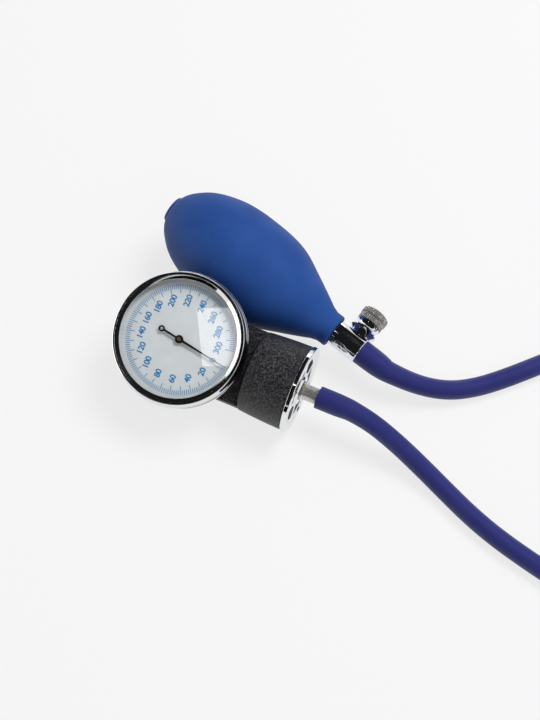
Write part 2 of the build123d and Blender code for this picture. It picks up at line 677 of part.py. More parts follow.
def make_gauge_glass():
    """Flat round glass."""
    glass = post(CASE_RADIUS, glass_bottom, glass_top)
    return chamfer(glass.edges().filter_by(GeomType.CIRCLE), 0.15)


def make_bezel_ring():
    """Ring over the case and the glass: a lower bead, a flared side, a round and an inward slope."""
    bore = CASE_RADIUS + SEAT
    side_top = CASE_RADIUS + BEZEL_WALL
    side_foot = side_top + BEZEL_FLARE
    bead = side_foot + BEZEL_ROLL
    crest = CASE_RADIUS - BEZEL_CREST
    opening = CASE_RADIUS - BEZEL_LIP
    bead_top = BEZEL_BOTTOM + BEZEL_BEAD
    lip = glass_top + SEAT
    turn = BEZEL_TOP - BEZEL_TURN
    share = math.sqrt(0.5)
    middle = (crest + (side_top - crest) * share, turn + BEZEL_TURN * share)
    crown = ThreePointArc((side_top, turn), middle, (crest, BEZEL_TOP))
    rest = Polyline(
        crown @ 1, (opening, lip + 0.4), (opening, lip), (bore, lip), (bore, BEZEL_BOTTOM),
        (bead - 0.4, BEZEL_BOTTOM), (bead, BEZEL_BOTTOM + 0.4), (bead, bead_top - 0.5), (side_foot, bead_top),
        crown @ 0)
    return revolve(Plane.XZ * make_face(crown + rest), Axis.Z)


# Bulb frame

dip = math.radians(BULB_DIP)
bulb_way = heading(BULB_HEADING) * math.cos(dip) - Vector(0, 0, math.sin(dip))
knob_way = heading(BULB_HEADING + 90)
button_x = -BULB_LENGTH


def bulb_outline(inset):
    """Curve through the bulb's radii, drawn in by a wall thickness."""
    first, last = BULB_OUTLINE[0], BULB_OUTLINE[-1]
    points = [(button_x + first[0] + 1.1 * inset, first[1])]
    points += [(button_x + place, radius - inset) for place, radius in BULB_OUTLINE[1:-1]]
    points += [(button_x + last[0] - 0.4 * inset, last[1] - inset)]
    return Spline(*points, tangents=((0.35, 1), (1, -0.55)))


def make_bulb():
    """Hollow rubber bulb with a button at one end and a collared mouth at the other."""
    curve = bulb_outline(0)
    shell = revolve(make_face(curve + Polyline(
        curve @ 1, (button_x + COLLAR_START, COLLAR_RADIUS), (-LIP_ROUND, COLLAR_RADIUS),
        (0, COLLAR_RADIUS - LIP_ROUND), (0, 0), (button_x, 0), (button_x, BUTTON_RADIUS),
        (button_x + BULB_OUTLINE[0][0], BUTTON_RADIUS), curve @ 0)), Axis.X)
    inside = bulb_outline(BULB_WALL)
    start = button_x + BUTTON_THICKNESS
    hollow = revolve(make_face(inside + Polyline(
        inside @ 1, (-MOUTH_DEPTH, BULB_OUTLINE[-1][1] - BULB_WALL), (-MOUTH_DEPTH, 0), (start, 0),
        (start, BULB_OUTLINE[0][1]), inside @ 0)), Axis.X)
    bulb = shell - hollow - rod(MOUTH_BORE, -MOUTH_DEPTH - 1, 1)
    return bulb - rod(INTAKE_RADIUS + SEAT, button_x - 1, start + 1)


def ball_seat(ball, hole):
    """How far a ball's centre stands from the face of the hole that it closes."""
    return math.sqrt(ball ** 2 - hole ** 2)


intake_face = button_x + INTAKE_RECESS
intake_seat = intake_face + INTAKE_SEAT
intake_centre = intake_seat + ball_seat(INTAKE_BALL, INTAKE_HOLE) + TOUCH
intake_cage_x = intake_centre + INTAKE_BALL + INTAKE_LIFT + TOUCH
outlet_centre = OUTLET_SEAT + ball_seat(OUTLET_BALL, OUTLET_HOLE) + TOUCH
outlet_cage_x = outlet_centre + OUTLET_BALL + OUTLET_LIFT + TOUCH


def make_intake_body():
    """Insert in the button, with a hole, a ball's chamber, and a flange behind the rubber."""
    chamber = INTAKE_BALL + CHAMBER_GAP
    end = intake_cage_x + CAGE_THICKNESS
    flange_radius, flange_thickness = INTAKE_FLANGE
    flange_x = button_x + BUTTON_THICKNESS + SEAT
    insert = rod(INTAKE_RADIUS, intake_face, end) + rod(flange_radius, flange_x, flange_x + flange_thickness)
    return insert - rod(INTAKE_HOLE, intake_face - 1, intake_seat + 1) - rod(chamber, intake_seat, end + 1)


def make_cage(start, radius):
    """Disc with three holes that keeps a ball in its chamber."""
    cage = rod(radius - SEAT, start, start + CAGE_THICKNESS)
    for index in range(3):
        hole = rod(CAGE_HOLE, start - 1, start + CAGE_THICKNESS + 1)
        cage -= Rot(120 * index, 0, 0) * Pos(0, radius * 0.55, 0) * hole
    return cage


def make_valve_body():
    """Stem in the bulb's mouth, round body, side boss, barb for the tube, and the passages."""
    ring_radius, ring_length = STEM_RING
    outline = [(-STEM_LENGTH, 0), (-STEM_LENGTH, MOUTH_BORE - 1), (-STEM_LENGTH + 1, MOUTH_BORE),
               (-MOUTH_DEPTH - ring_length, MOUTH_BORE), (-MOUTH_DEPTH - SEAT - 0.6, ring_radius),
               (-MOUTH_DEPTH - SEAT, ring_radius), (-MOUTH_DEPTH - SEAT, MOUTH_BORE - SEAT),
               (SEAT, MOUTH_BORE - SEAT), (SEAT, VALVE_RADIUS - VALVE_CHAMFER), (VALVE_CHAMFER, VALVE_RADIUS),
               (VALVE_LENGTH - VALVE_CHAMFER, VALVE_RADIUS), (VALVE_LENGTH, VALVE_RADIUS - VALVE_CHAMFER)]
    outline += barb_outline(VALVE_LENGTH, VALVE_BARB_LENGTH, VALVE_BARB_RADIUS, BARB_BITE)
    end = VALVE_LENGTH + VALVE_BARB_LENGTH
    outline += [(end, 0)]
    body = turned(*outline) + to_bulb(make_boss())
    body -= rod(OUTLET_HOLE, -STEM_LENGTH - 1, OUTLET_SEAT + 1) + rod(PASSAGE_RADIUS, OUTLET_SEAT, end + 1)
    side = rod(VENT_HOLE, 0, VENT_SEAT + 1) + rod(NEEDLE_RADIUS + 0.3, VENT_SEAT, BOSS_TOP)
    side += rod(SPIGOT_RADIUS + SEAT, SPIGOT_FOOT - SEAL_ROOM, BOSS_TOP + 1)
    vent_x = (VENT_SEAT + SPIGOT_FOOT - SEAL_ROOM) / 2
    upwards = (Align.CENTER, Align.CENTER, Align.MIN)
    vent = Pos(vent_x, 0, -VALVE_RADIUS) * Cylinder(VENT_OUTLET, VALVE_RADIUS, align=upwards)
    return body - to_bulb(side) - to_bulb(vent)


side_in_bulb = Plane(origin=(SIDE_PLACE, 0, 0), x_dir=(0, 1, 0), z_dir=(0, 0, 1))


def to_bulb(shape):
    """Carry a shape from the side frame to the bulb frame."""
    return side_in_bulb.location * shape


def make_boss():
    """Bowl-shaped boss on the side of the valve body."""
    foot_x, foot_radius = BOSS_FOOT
    rim_x_side, rim_radius = BOSS_RIM
    middle = ((foot_x + rim_x_side) / 2 + 0.5, (foot_radius + rim_radius) / 2)
    bowl = ThreePointArc((foot_x, foot_radius), middle, (rim_x_side, rim_radius))
    rest = Polyline((rim_x_side, rim_radius), (BOSS_TOP - 0.4, rim_radius), (BOSS_TOP, rim_radius - 0.5),
                    (BOSS_TOP, 0), (foot_x, 0), (foot_x, foot_radius))
    return revolve(make_face(bowl + rest), Axis.X)


def make_valve_neck():
    """Polished neck screwed into the boss, that guides the needle."""
    waist_x = (BOSS_TOP + NECK_TOP) / 2
    foot = BOSS_TOP + SEAT
    waist = ThreePointArc((foot, NECK_RADIUS), (waist_x, NECK_RADIUS - NECK_WAIST), (NECK_TOP, NECK_RADIUS))
    rest = Polyline((NECK_TOP, NECK_RADIUS), (NECK_TOP, 0), (foot, 0), (foot, NECK_RADIUS))
    neck = revolve(make_face(waist + rest), Axis.X)
    neck += rod(SPIGOT_RADIUS, SPIGOT_FOOT + SEAT, foot)
    return neck - rod(NEEDLE_RADIUS + RUN, SPIGOT_FOOT - 1, NECK_TOP + 1)


def make_needle_seal():
    """Rubber ring round the needle, under the neck's spigot."""
    middle = SPIGOT_FOOT - SEAL_ROOM / 2
    return Pos(middle, 0, 0) * Rot(0, 90, 0) * Torus(SPIGOT_RADIUS - SEAL_SECTION, SEAL_SECTION)


def make_valve_needle():
    """Needle that shuts the vent, with its cone just clear of the seat."""
    full = VENT_SEAT + NEEDLE_RADIUS - VENT_HOLE + TOUCH
    tip = VENT_SEAT - VENT_HOLE + NEEDLE_TIP + TOUCH
    return turned((tip, 0), (tip, NEEDLE_TIP), (full, NEEDLE_RADIUS), (NEEDLE_TOP, NEEDLE_RADIUS),
                  (NEEDLE_TOP, 0))


def knurled(radius, start, end):
    """Disc along X with V-shaped grooves round it."""
    points = []
    for index in range(2 * KNURL_COUNT):
        reach = radius if index % 2 == 0 else radius - KNURL_DEPTH
        angle = math.pi * index / KNURL_COUNT
        points.append((reach * math.cos(angle), reach * math.sin(angle)))
    return Pos(start, 0, 0) * extrude(Plane.YZ * make_face(Polyline(*points, close=True)), end - start)


def make_release_knob():
    """Knob with two knurled bands and a groove between them, bored for the needle."""
    groove_start, groove_end = KNOB_GROOVE
    crown_radius = KNOB_OUTER_RADIUS - 0.8
    dome = turned((KNOB_TOP, 0), (KNOB_TOP, crown_radius), (KNOB_TOP + KNOB_CROWN * 0.6, crown_radius * 0.75),
                  (KNOB_TOP + KNOB_CROWN, crown_radius * 0.4), (KNOB_TOP + KNOB_CROWN, 0))
    knob = knurled(KNOB_INNER_RADIUS, KNOB_FOOT, groove_start)
    knob += rod(KNOB_GROOVE_RADIUS, groove_start, groove_end)
    knob = knob + knurled(KNOB_OUTER_RADIUS, groove_end, KNOB_TOP) + dome
    return knob - rod(NEEDLE_RADIUS + RUN, KNOB_FOOT - 1, NEEDLE_TOP + TOUCH)


# Tubes

def stretched(bore):
    """Outer radius of the tube where its bore is stretched, with its wall's section kept."""
    return math.sqrt(bore ** 2 + TUBE_RADIUS ** 2 - TUBE_BORE ** 2)


def corner_radii(points):
    """Largest round for each corner of a route: 0.45 of the shorter run over the tangent of half the turn."""
    radii = []
    for before, corner, after in zip(points, points[1:], points[2:]):
        run_in = corner - before
        run_out = after - corner
        half_turn = math.radians(run_in.get_angle(run_out) / 2)
        radii.append(0.45 * min(run_in.length, run_out.length) / math.tan(half_turn))
    return radii


def swept(radius, path):
    """A round bar along a path."""
    start = Plane(origin=path @ 0, z_dir=path % 0)
    return sweep(start * Circle(radius), path=path)


def make_free_tube(name, points, barb_radius):
    """Rubber tube along its route, with its end stretched over a barb."""
    radii = corner_radii(points)
    print(name, "corner radii", [round(value, 1) for value in radii])
    way = (points[1] - points[0]).normalized()
    free = [points[0] + way * STRETCH_END] + points[1:]
    path = FilletPolyline(*free, radius=radii)
    bent = swept(TUBE_RADIUS, path) - swept(TUBE_BORE, path)
    section = math.pi * (TUBE_RADIUS ** 2 - TUBE_BORE ** 2)
    print(name, "length", round(path.length + STRETCH_END, 1), "volume", round(bent.volume),
          "section by length", round(section * path.length))
    frame = Plane(origin=points[0], x_dir=way, z_dir=way.cross(Vector(0, 0, 1)))
    wide = stretched(barb_radius)
    outside = turned((0, 0), (0, wide), (STRETCH_LENGTH, wide), (STRETCH_END, TUBE_RADIUS), (STRETCH_END, 0))
    inside = turned((-1, 0), (-1, barb_radius), (BORE_LENGTH, barb_radius),
                    (STRETCH_END, TUBE_BORE), (STRETCH_END, 0))
    return frame.location * (outside - inside) + bent


inner_radius = COIL_RADIUS - TUBE_RADIUS - COIL_GAP / 2
last_radius = COIL_RADIUS - 2 * TUBE_RADIUS - COIL_GAP


def coil_arcs():
    """Radius and turn, in degrees, of each arc of a coil that winds in to the left."""
    return ((COIL_RADIUS, 180.0), (inner_radius, 180.0), (last_radius, COIL_OVERLAP), COIL_TUCK)


def coil_path(start, way):
    """Path of a coil from a point and a heading in degrees, and the place and heading of its end."""
    place = start
    turn = way
    path = None
    for radius, bend in coil_arcs():
        centre = place + heading(turn + 90) * radius
        middle = centre + heading(turn - 90 + bend / 2) * radius
        end = centre + heading(turn - 90 + bend) * radius
        arc = ThreePointArc(place, middle, end)
        path = arc if path is None else path + arc
        place = end
        turn += bend
    ramp, end = lifted_end(place, heading(turn))
    return path + ramp, end, turn


def lifted_end(start, way):
    """Path of the tube's end, which rises over the coil's far side in two bends, and its last point."""
    up = Vector(0, 0, 1)
    radius, bend = RAMP
    angle = math.radians(bend)
    run = way * (radius * math.sin(angle)) + up * (radius * (1 - math.cos(angle)))
    half = way * (radius * math.sin(angle / 2)) + up * (radius * (1 - math.cos(angle / 2)))
    rise = 2 * TUBE_RADIUS + COIL_REST - 2 * radius * (1 - math.cos(angle))
    slope = way * (rise / math.tan(angle)) + up * rise
    foot = start + run
    head = foot + slope
    level = head + run
    end = level + way * COIL_TAIL
    climb = ThreePointArc(start, start + half, foot) + Line(foot, head)
    return climb + ThreePointArc(head, level - half, level) + Line(level, end), end


def least_gap(path, radius):
    """Least clear distance of a coil's tube to itself, on points a quarter of a turn or more apart."""
    count = 400
    points = [path @ (index / count) for index in range(count + 1)]
    spacing = path.length / count
    apart = int(math.pi * radius / 2 / spacing)
    pairs = ((a, b) for a in range(count + 1) for b in range(a + apart, count + 1))
    return min((points[a] - points[b]).length for a, b in pairs) - 2 * TUBE_RADIUS


def make_coil(name, points):
    """The coiled length of a tube, and the frame of its end with X along the tube."""
    run = points[-1] - points[-2]
    way = math.degrees(math.atan2(run.Y, run.X))
    path, end, turn = coil_path(points[-1], way)
    print(name, "length", round(path.length, 1), "least gap", round(least_gap(path, last_radius), 2))
    tube = swept(TUBE_RADIUS, path) - swept(TUBE_BORE, path)
    section = math.pi * (TUBE_RADIUS ** 2 - TUBE_BORE ** 2)
    print(name, "volume", round(tube.volume), "section by length", round(section * path.length))
    return tube, Plane(origin=end, x_dir=heading(turn), z_dir=(0, 0, 1))


def make_connector():
    """Slip connector for the cuff's hose: barb, flange, fluted grip and plain nose."""
    flange_radius, flange_length = CONNECTOR_FLANGE
    grip_radius, grip_length = CONNECTOR_GRIP
    nose_radius, nose_length = CONNECTOR_NOSE
    grip_end = flange_length + grip_length
    end = grip_end + nose_length
    body = turned(
        (-CONNECTOR_BARB, 0), (-CONNECTOR_BARB, TUBE_BORE - 0.6), (-CONNECTOR_BARB + 1.2, TUBE_BORE - SEAT),
        (0, TUBE_BORE - SEAT), (0, flange_radius), (flange_length, flange_radius),
        (flange_length, grip_radius), (grip_end, grip_radius), (grip_end, nose_radius),
        (end - 0.6, nose_radius), (end, nose_radius - 0.5), (end, 0))
    flute = Rot(45, 0, 0) * Box(grip_length - 1.2, 0.5, 0.5)
    for index in range(CONNECTOR_FLUTES):
        place = Pos(flange_length + grip_length / 2, grip_radius, 0)
        body -= Rot(360 / CONNECTOR_FLUTES * index, 0, 0) * place * flute
    return body - rod(CONNECTOR_BORE, -CONNECTOR_BARB - 1, end + 1)


def make_clip(points):
    """Twin clip that snaps over the coil's two strands from above and stays off the table."""
    run = points[-1] - points[-2]
    way = math.degrees(math.atan2(run.Y, run.X))
    centre = points[-1] + heading(way + 90) * COIL_RADIUS
    side = way - 90 + CLIP_TURN
    spacing = TUBE_RADIUS + COIL_GAP / 2
    hold = TUBE_RADIUS + TOUCH
    profile = Sketch()
    for sign in (-1, 1):
        profile += Pos(sign * spacing, 0) * Circle(hold + CLIP_WALL)
    for sign in (-1, 1):
        profile -= Pos(sign * spacing, 0) * Circle(hold)
    reach = 4 * spacing
    profile -= Pos(0, -CLIP_OPEN - reach / 2) * Rectangle(2 * reach, reach)
    section = Plane(origin=centre, x_dir=heading(side), z_dir=heading(side - 90))
    face = section * (Pos(inner_radius, 0) * profile)
    return revolve(face, Axis(centre, (0, 0, 1)), math.degrees(CLIP_LENGTH / inner_radius))


# Assembly

gauge_pieces = {
    "gauge_body": make_gauge_body(),
    "end_cap": make_end_cap(),
    "dust_screen": make_dust_screen(),
    "hose_stub": make_hose_stub(),
    "stub_nut": make_stub_nut(),
    "pressure_capsule": make_pressure_capsule(),
    "push_rod": make_push_rod(),
    "rod_bush": make_rod_bush(),
    "head_case": make_head_case(),
    "case_screws": make_case_screws(),
    "movement_plate": make_plate(PLATE_LEVEL, PIVOT_RADIUS, ROCKER_RADIUS, 0),
    "movement_bridge": make_plate(BRIDGE_LEVEL, ARBOR_RADIUS, ROCKER_RADIUS, SCREW_SHANK[0]),
    "movement_pillars": make_movement_pillars(),
    "movement_screws": make_movement_screws(),
    "sector_gear": make_sector_gear(),
    "rocker_arbor": make_rocker_arbor(),
    "rocker_lever": make_rocker_lever(),
    "pinion": make_pinion(),
    "pointer_arbor": make_pointer_arbor(),
    "hairspring": make_hairspring(),
    "hairspring_stud": make_hairspring_stud(),
    "dial_plate": make_dial_plate(),
    "pointer": make_pointer(),
    "pointer_bush": make_pointer_bush(),
    "glass_gasket": make_glass_gasket(),
    "gauge_glass": make_gauge_glass(),
    "bezel_ring": make_bezel_ring(),
}
bulb_pieces = {
    "bulb": make_bulb(),
    "intake_valve_body": make_intake_body(),
    "intake_ball": Pos(intake_centre, 0, 0) * Sphere(INTAKE_BALL),
    "intake_cage": make_cage(intake_cage_x, INTAKE_BALL + CHAMBER_GAP),
    "valve_body": make_valve_body(),
    "check_ball": Pos(outlet_centre, 0, 0) * Sphere(OUTLET_BALL),
    "check_cage": make_cage(outlet_cage_x, PASSAGE_RADIUS),
    "valve_neck": to_bulb(make_valve_neck()),
    "needle_seal": to_bulb(make_needle_seal()),
    "valve_needle": to_bulb(make_valve_needle()),
    "release_knob": to_bulb(make_release_knob()),
}

# The bulb lies with its belly on the table
bulb_tilt = Plane(origin=(MOUTH_PLACE[0], MOUTH_PLACE[1], 0), x_dir=bulb_way, z_dir=bulb_way.cross(knob_way))
belly = (bulb_tilt.location * bulb_pieces["bulb"]).bounding_box().min.Z
bulb_origin = Vector(MOUTH_PLACE[0], MOUTH_PLACE[1], -belly)
bulb_frame = Plane(origin=bulb_origin, x_dir=bulb_way, z_dir=bulb_way.cross(knob_way))

pieces = {name: gauge_frame.location * shape for name, shape in gauge_pieces.items()}
pieces.update({name: bulb_frame.location * shape for name, shape in bulb_pieces.items()})

bulb_exit = bulb_frame.origin + bulb_way * VALVE_LENGTH
bulb_route = [bulb_exit, bulb_exit + bulb_way * BULB_TUBE_FIRST_RUN]
bulb_route += [Vector(*p) for p in BULB_TUBE_POINTS]
gauge_exit = gauge_frame.origin + drum_way * stub_end
gauge_route = [gauge_exit, gauge_exit + drum_way * GAUGE_TUBE_FIRST_RUN]
gauge_route += [Vector(*p) for p in GAUGE_TUBE_POINTS]

# The origin is under the middle of what isn't tube
solid_box = Compound([piece for piece in pieces.values()]).bounding_box()
origin_shift = Vector(-(solid_box.min.X + solid_box.max.X) / 2, -(solid_box.min.Y + solid_box.max.Y) / 2, 0)

bulb_coil, bulb_end = make_coil("bulb_tube_coil", bulb_route)
gauge_coil, gauge_end = make_coil("gauge_tube_coil", gauge_route)
pieces["bulb_tube"] = make_free_tube("bulb_tube", bulb_route, VALVE_BARB_RADIUS)
pieces["bulb_tube_coil"] = bulb_coil
pieces["bulb_tube_connector"] = bulb_end.location * make_connector()
pieces["gauge_tube"] = make_free_tube("gauge_tube", gauge_route, STUB_BARB_RADIUS)
pieces["gauge_tube_coil"] = gauge_coil
pieces["gauge_tube_connector"] = gauge_end.location * make_connector()
pieces["coil_clips"] = Compound([make_clip(bulb_route).solid(), make_clip(gauge_route).solid()])

os.makedirs("parts", exist_ok=True)
for name, piece in pieces.items():
    export_step(Pos(origin_shift.X, origin_shift.Y, origin_shift.Z) * piece, f"parts/{name}.step")
print(len(pieces), "nodes, origin moved by", round(origin_shift.X, 3), round(origin_shift.Y, 3))
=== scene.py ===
"""Looks of an aneroid blood pressure gauge with its squeeze bulb and two rubber tubes.

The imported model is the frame. This script replaces the visible shapes with smooth surfaces, prints the
dial, lays the tubes as free cords, and sets the finishes, the camera and the soft light.
"""

import json
import logging
import math
from dataclasses import dataclass
from enum import Enum
from functools import cache
from typing import Any, Callable, Sequence

import bmesh
import bpy
import numpy as np
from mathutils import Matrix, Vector


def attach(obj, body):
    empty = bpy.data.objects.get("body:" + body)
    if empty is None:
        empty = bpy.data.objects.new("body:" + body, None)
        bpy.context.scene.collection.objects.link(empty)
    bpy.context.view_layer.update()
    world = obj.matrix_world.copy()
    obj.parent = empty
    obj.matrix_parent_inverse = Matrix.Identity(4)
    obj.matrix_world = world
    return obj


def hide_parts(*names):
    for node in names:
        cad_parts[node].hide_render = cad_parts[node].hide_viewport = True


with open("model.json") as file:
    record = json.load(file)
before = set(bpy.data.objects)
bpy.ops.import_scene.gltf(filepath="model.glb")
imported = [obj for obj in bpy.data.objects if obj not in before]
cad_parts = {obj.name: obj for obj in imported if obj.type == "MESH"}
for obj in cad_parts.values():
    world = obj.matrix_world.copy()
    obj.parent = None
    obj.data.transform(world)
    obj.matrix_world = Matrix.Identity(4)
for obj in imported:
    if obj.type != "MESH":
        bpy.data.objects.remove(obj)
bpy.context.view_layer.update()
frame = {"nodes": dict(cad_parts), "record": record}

log = logging.getLogger("gauge_scene")

MM = 0.001
Socket = Any
Pair = tuple[float, float]
Triple = tuple[float, float, float]
Material = bpy.types.Material
Object = bpy.types.Object
Tree = bpy.types.NodeTree
Points = np.ndarray
Faces = list[tuple[int, ...]]


class Body(Enum):
    """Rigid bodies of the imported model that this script's pieces ride on."""

    KIT = "kit"
    KNOB = "knob"


@dataclass(frozen=True)
class Axes:
    """A local frame of the object, in metres, with its unit axes as rows."""

    origin: Points
    x: Points
    y: Points
    z: Points

    def place(self, local: Points) -> Points:
        """Carry points in millimetres to the row frame: origin plus x, y and z times each coordinate."""
        return self.origin + MM * (local @ np.stack([self.x, self.y, self.z]))


def unit(values: Sequence[float]) -> Points:
    """A vector divided by its length."""
    vector = np.array(values, float)
    return vector / np.linalg.norm(vector)


def joint(name: str) -> dict[str, Any]:
    """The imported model's joint of that name."""
    return next(j for j in frame["record"]["behaviour"]["joints"] if j["name"] == name)


def gauge_axes() -> Axes:
    """Frame of the gauge: X along the drum to the hose, Z out of the dial, origin under the pointer."""
    z = unit(joint("pointer_turn")["axis"])
    x = -unit(joint("rod_slide")["axis"])
    return Axes(np.array(joint("pointer_turn")["pos_m"]), x, np.cross(z, x), z)


KNOB_PLACE_MM = 10.5


def bulb_axes() -> Axes:
    """Frame of the bulb: X along it to its tube, Y towards the release knob, origin at its mouth."""
    x = unit(joint("check_ball_lift")["axis"])
    y = unit(joint("knob_turn")["axis"])
    origin = np.array(joint("knob_turn")["pos_m"]) - x * KNOB_PLACE_MM * MM
    return Axes(origin, x, y, np.cross(x, y))


GAUGE = gauge_axes()
BULB = bulb_axes()
SIDE = Axes(BULB.origin + BULB.x * KNOB_PLACE_MM * MM, BULB.y, -BULB.x, BULB.z)
DIAL = Axes(GAUGE.origin, GAUGE.z, GAUGE.x, GAUGE.y)


# Finishes


def linear(hex_colour: str) -> tuple[float, float, float, float]:
    """Turn an sRGB hex colour to linear: c / 12.92 to 0.04045, above it ((c + 0.055) / 1.055) ** 2.4.

    Args:
        hex_colour: six hex digits, such as "2b5499".

    Returns:
        Linear red, green, blue and an alpha of one.
    """
    channels = np.array([int(hex_colour[i:i + 2], 16) for i in (0, 2, 4)]) / 255
    curve = np.where(channels <= 0.04045, channels / 12.92, ((channels + 0.055) / 1.055) ** 2.4)
    return (float(curve[0]), float(curve[1]), float(curve[2]), 1.0)


def add(tree: Tree, kind: str, inputs: dict[str, Any] | None = None, **settings: Any) -> bpy.types.Node:
    """Add a node, set its properties, and set or link its inputs.

    Args:
        tree: node tree that gets the node.
        kind: Blender's name of the node's type, without its ShaderNode.
        inputs: input name to a value, or to the output socket that feeds it.
        settings: properties of the node.

    Returns:
        The node.
    """
    node = tree.nodes.new("ShaderNode" + kind)
    for name, value in settings.items():
        setattr(node, name, value)
    for name, value in (inputs or {}).items():
        socket = node.inputs[name]
        if isinstance(value, bpy.types.NodeSocket):
            tree.links.new(value, socket)
        else:
            socket.default_value = value
    return node


def stand(name: str, data: bpy.types.ID) -> Object:
    """Make an object of some data at the origin, and link it to the scene."""
    made = bpy.data.objects.new(name, data)
    bpy.context.scene.collection.objects.link(made)
    return made


def new_tree(name: str) -> tuple[Material, Tree]:
    """Make an empty node material.

    Args:
        name: the material's name.

    Returns:
        The material and its node tree.
    """
    material = bpy.data.materials.new(name)
    material.use_nodes = True
    material.node_tree.nodes.clear()
    return material, material.node_tree


def finish_tree(tree: Tree, shader: Socket) -> None:
    """Link a shader to the material's output."""
    add(tree, "OutputMaterial", {"Surface": shader})


def principled(tree: Tree, inputs: dict[str, Any]) -> None:
    """Finish a material with a Principled surface of these inputs."""
    finish_tree(tree, add(tree, "BsdfPrincipled", inputs).outputs["BSDF"])


def blended(tree: Tree, share: Any, first: bpy.types.Node, second: bpy.types.Node) -> Socket:
    """Shader that is the first node's at a share of 0 and the second's at 1."""
    return add(tree, "MixShader", {
        "Fac": share, 1: first.outputs[0], 2: second.outputs[0]}).outputs[0]


def computed(tree: Tree, operation: str, *values: Any) -> Socket:
    """Output of a Math node with this operation on these values or sockets."""
    return add(tree, "Math", dict(enumerate(values)), operation=operation).outputs[0]


def backdrop_rays(tree: Tree) -> Socket:
    """One for a ray from the camera, off a mirror or through glass, and zero for any other."""
    rays = add(tree, "LightPath").outputs
    mirrored = computed(tree, "MAXIMUM", rays["Is Glossy Ray"], rays["Is Transmission Ray"])
    return computed(tree, "MAXIMUM", rays["Is Camera Ray"], mirrored)


Stop = tuple[float, Sequence[float]]


def colour_ramp(tree: Tree, factor: Socket, low: Stop, high: Stop) -> Socket:
    """Colour that runs straight between two stops.

    Args:
        tree: node tree.
        factor: output socket that picks the place between the stops.
        low: position and linear colour of the first stop.
        high: position and linear colour of the second stop.

    Returns:
        The colour's output socket.
    """
    ramp = add(tree, "ValToRGB", {"Fac": factor})
    for number, (position, colour) in enumerate((low, high)):
        ramp.color_ramp.elements[number].position = position
        ramp.color_ramp.elements[number].color = colour
    return ramp.outputs["Color"]


def object_noise(tree: Tree, size: float, detail: float, **more: float) -> Socket:
    """Noise on Object coordinates.

    Args:
        tree: node tree.
        size: width of a patch, in millimetres.
        detail: octaves of finer noise.
        more: other inputs of the noise node, by name.

    Returns:
        The noise value's output socket.
    """
    place = add(tree, "TexCoord").outputs["Object"]
    inputs = {"Vector": place, "Scale": 1 / (size * MM), "Detail": detail, **more}
    return add(tree, "TexNoise", inputs).outputs["Fac"]


def bumped(tree: Tree, height: Socket, depth: float, strength: float) -> Socket:
    """Normal of a surface raised by a height map: its depth in millimetres, and the share that shows."""
    return add(tree, "Bump", {
        "Height": height, "Distance": depth * MM, "Strength": strength}).outputs["Normal"]


COAT_IOR = 1.5
HEAD_ON_SHARE = 0.04
COLOUR_OCTAVES, GRAIN_OCTAVES, SCRATCH_OCTAVES = 3.0, 4.0, 5.0


@dataclass(frozen=True)
class SatinSkin:
    """Enamel, felt or another opaque skin: its colour drifts between two, over a fine grain.

    The patch is the width of a colour's patches in millimetres, and the spread the part of the noise
    over which they blend. The grain is its width and depth in millimetres, and the share that shows.
    """

    name: str
    dark: str
    light: str
    roughness: float
    patch: float = 6.0
    spread: float = 0.4
    grain: Triple = (0.2, 0.004, 0.3)
    metallic: float = 0.0
    specular: float = 0.5
    sheen: float = 0.0

    def build(self) -> Material:
        """Make the material."""
        material, tree = new_tree(self.name)
        low = (0.5 - self.spread / 2, linear(self.dark))
        high = (0.5 + self.spread / 2, linear(self.light))
        colour = colour_ramp(tree, object_noise(tree, self.patch, COLOUR_OCTAVES), low, high)
        size, depth, share = self.grain
        principled(tree, {
            "Base Color": colour, "Metallic": self.metallic, "Roughness": self.roughness,
            "IOR": COAT_IOR, "Specular IOR Level": self.specular, "Sheen Weight": self.sheen,
            "Normal": bumped(tree, object_noise(tree, size, GRAIN_OCTAVES), depth, share)})
        return material


@dataclass(frozen=True)
class MouldedRubber(SatinSkin):
    """Natural rubber or latex out of a blasted mould: matte, with a soft bloom and uneven colour."""

    patch: float = 14.0
    spread: float = 0.3
    grain: Triple = (0.35, 0.03, 0.35)
    specular: float = 0.3
    sheen: float = 0.15


@dataclass(frozen=True)
class TurnedMetal(SatinSkin):
    """Bare turned or rolled metal: soft shine with fine tool marks."""

    patch: float = 2.5
    grain: Triple = (0.3, 0.01, 0.4)
    metallic: float = 1.0


@dataclass(frozen=True)
class PlatedMetal:
    """Chrome or nickel over brass: a mirror with fine handling marks, or a satin coat that scatters."""

    name: str
    colour: str
    roughness: float
    wear: float = 0.05
    scratch: float = 3.0
    worn: Pair = (0.35, 0.75)
    metallic: float = 1.0

    def build(self) -> Material:
        """Make the material."""
        material, tree = new_tree(self.name)
        rough = add(tree, "MapRange", {
            "Value": object_noise(tree, self.scratch, SCRATCH_OCTAVES),
            "From Min": self.worn[0], "From Max": self.worn[1],
            "To Min": self.roughness, "To Max": self.roughness + self.wear}).outputs["Result"]
        principled(tree, {
            "Base Color": linear(self.colour), "Metallic": self.metallic, "Roughness": rough})
        return material


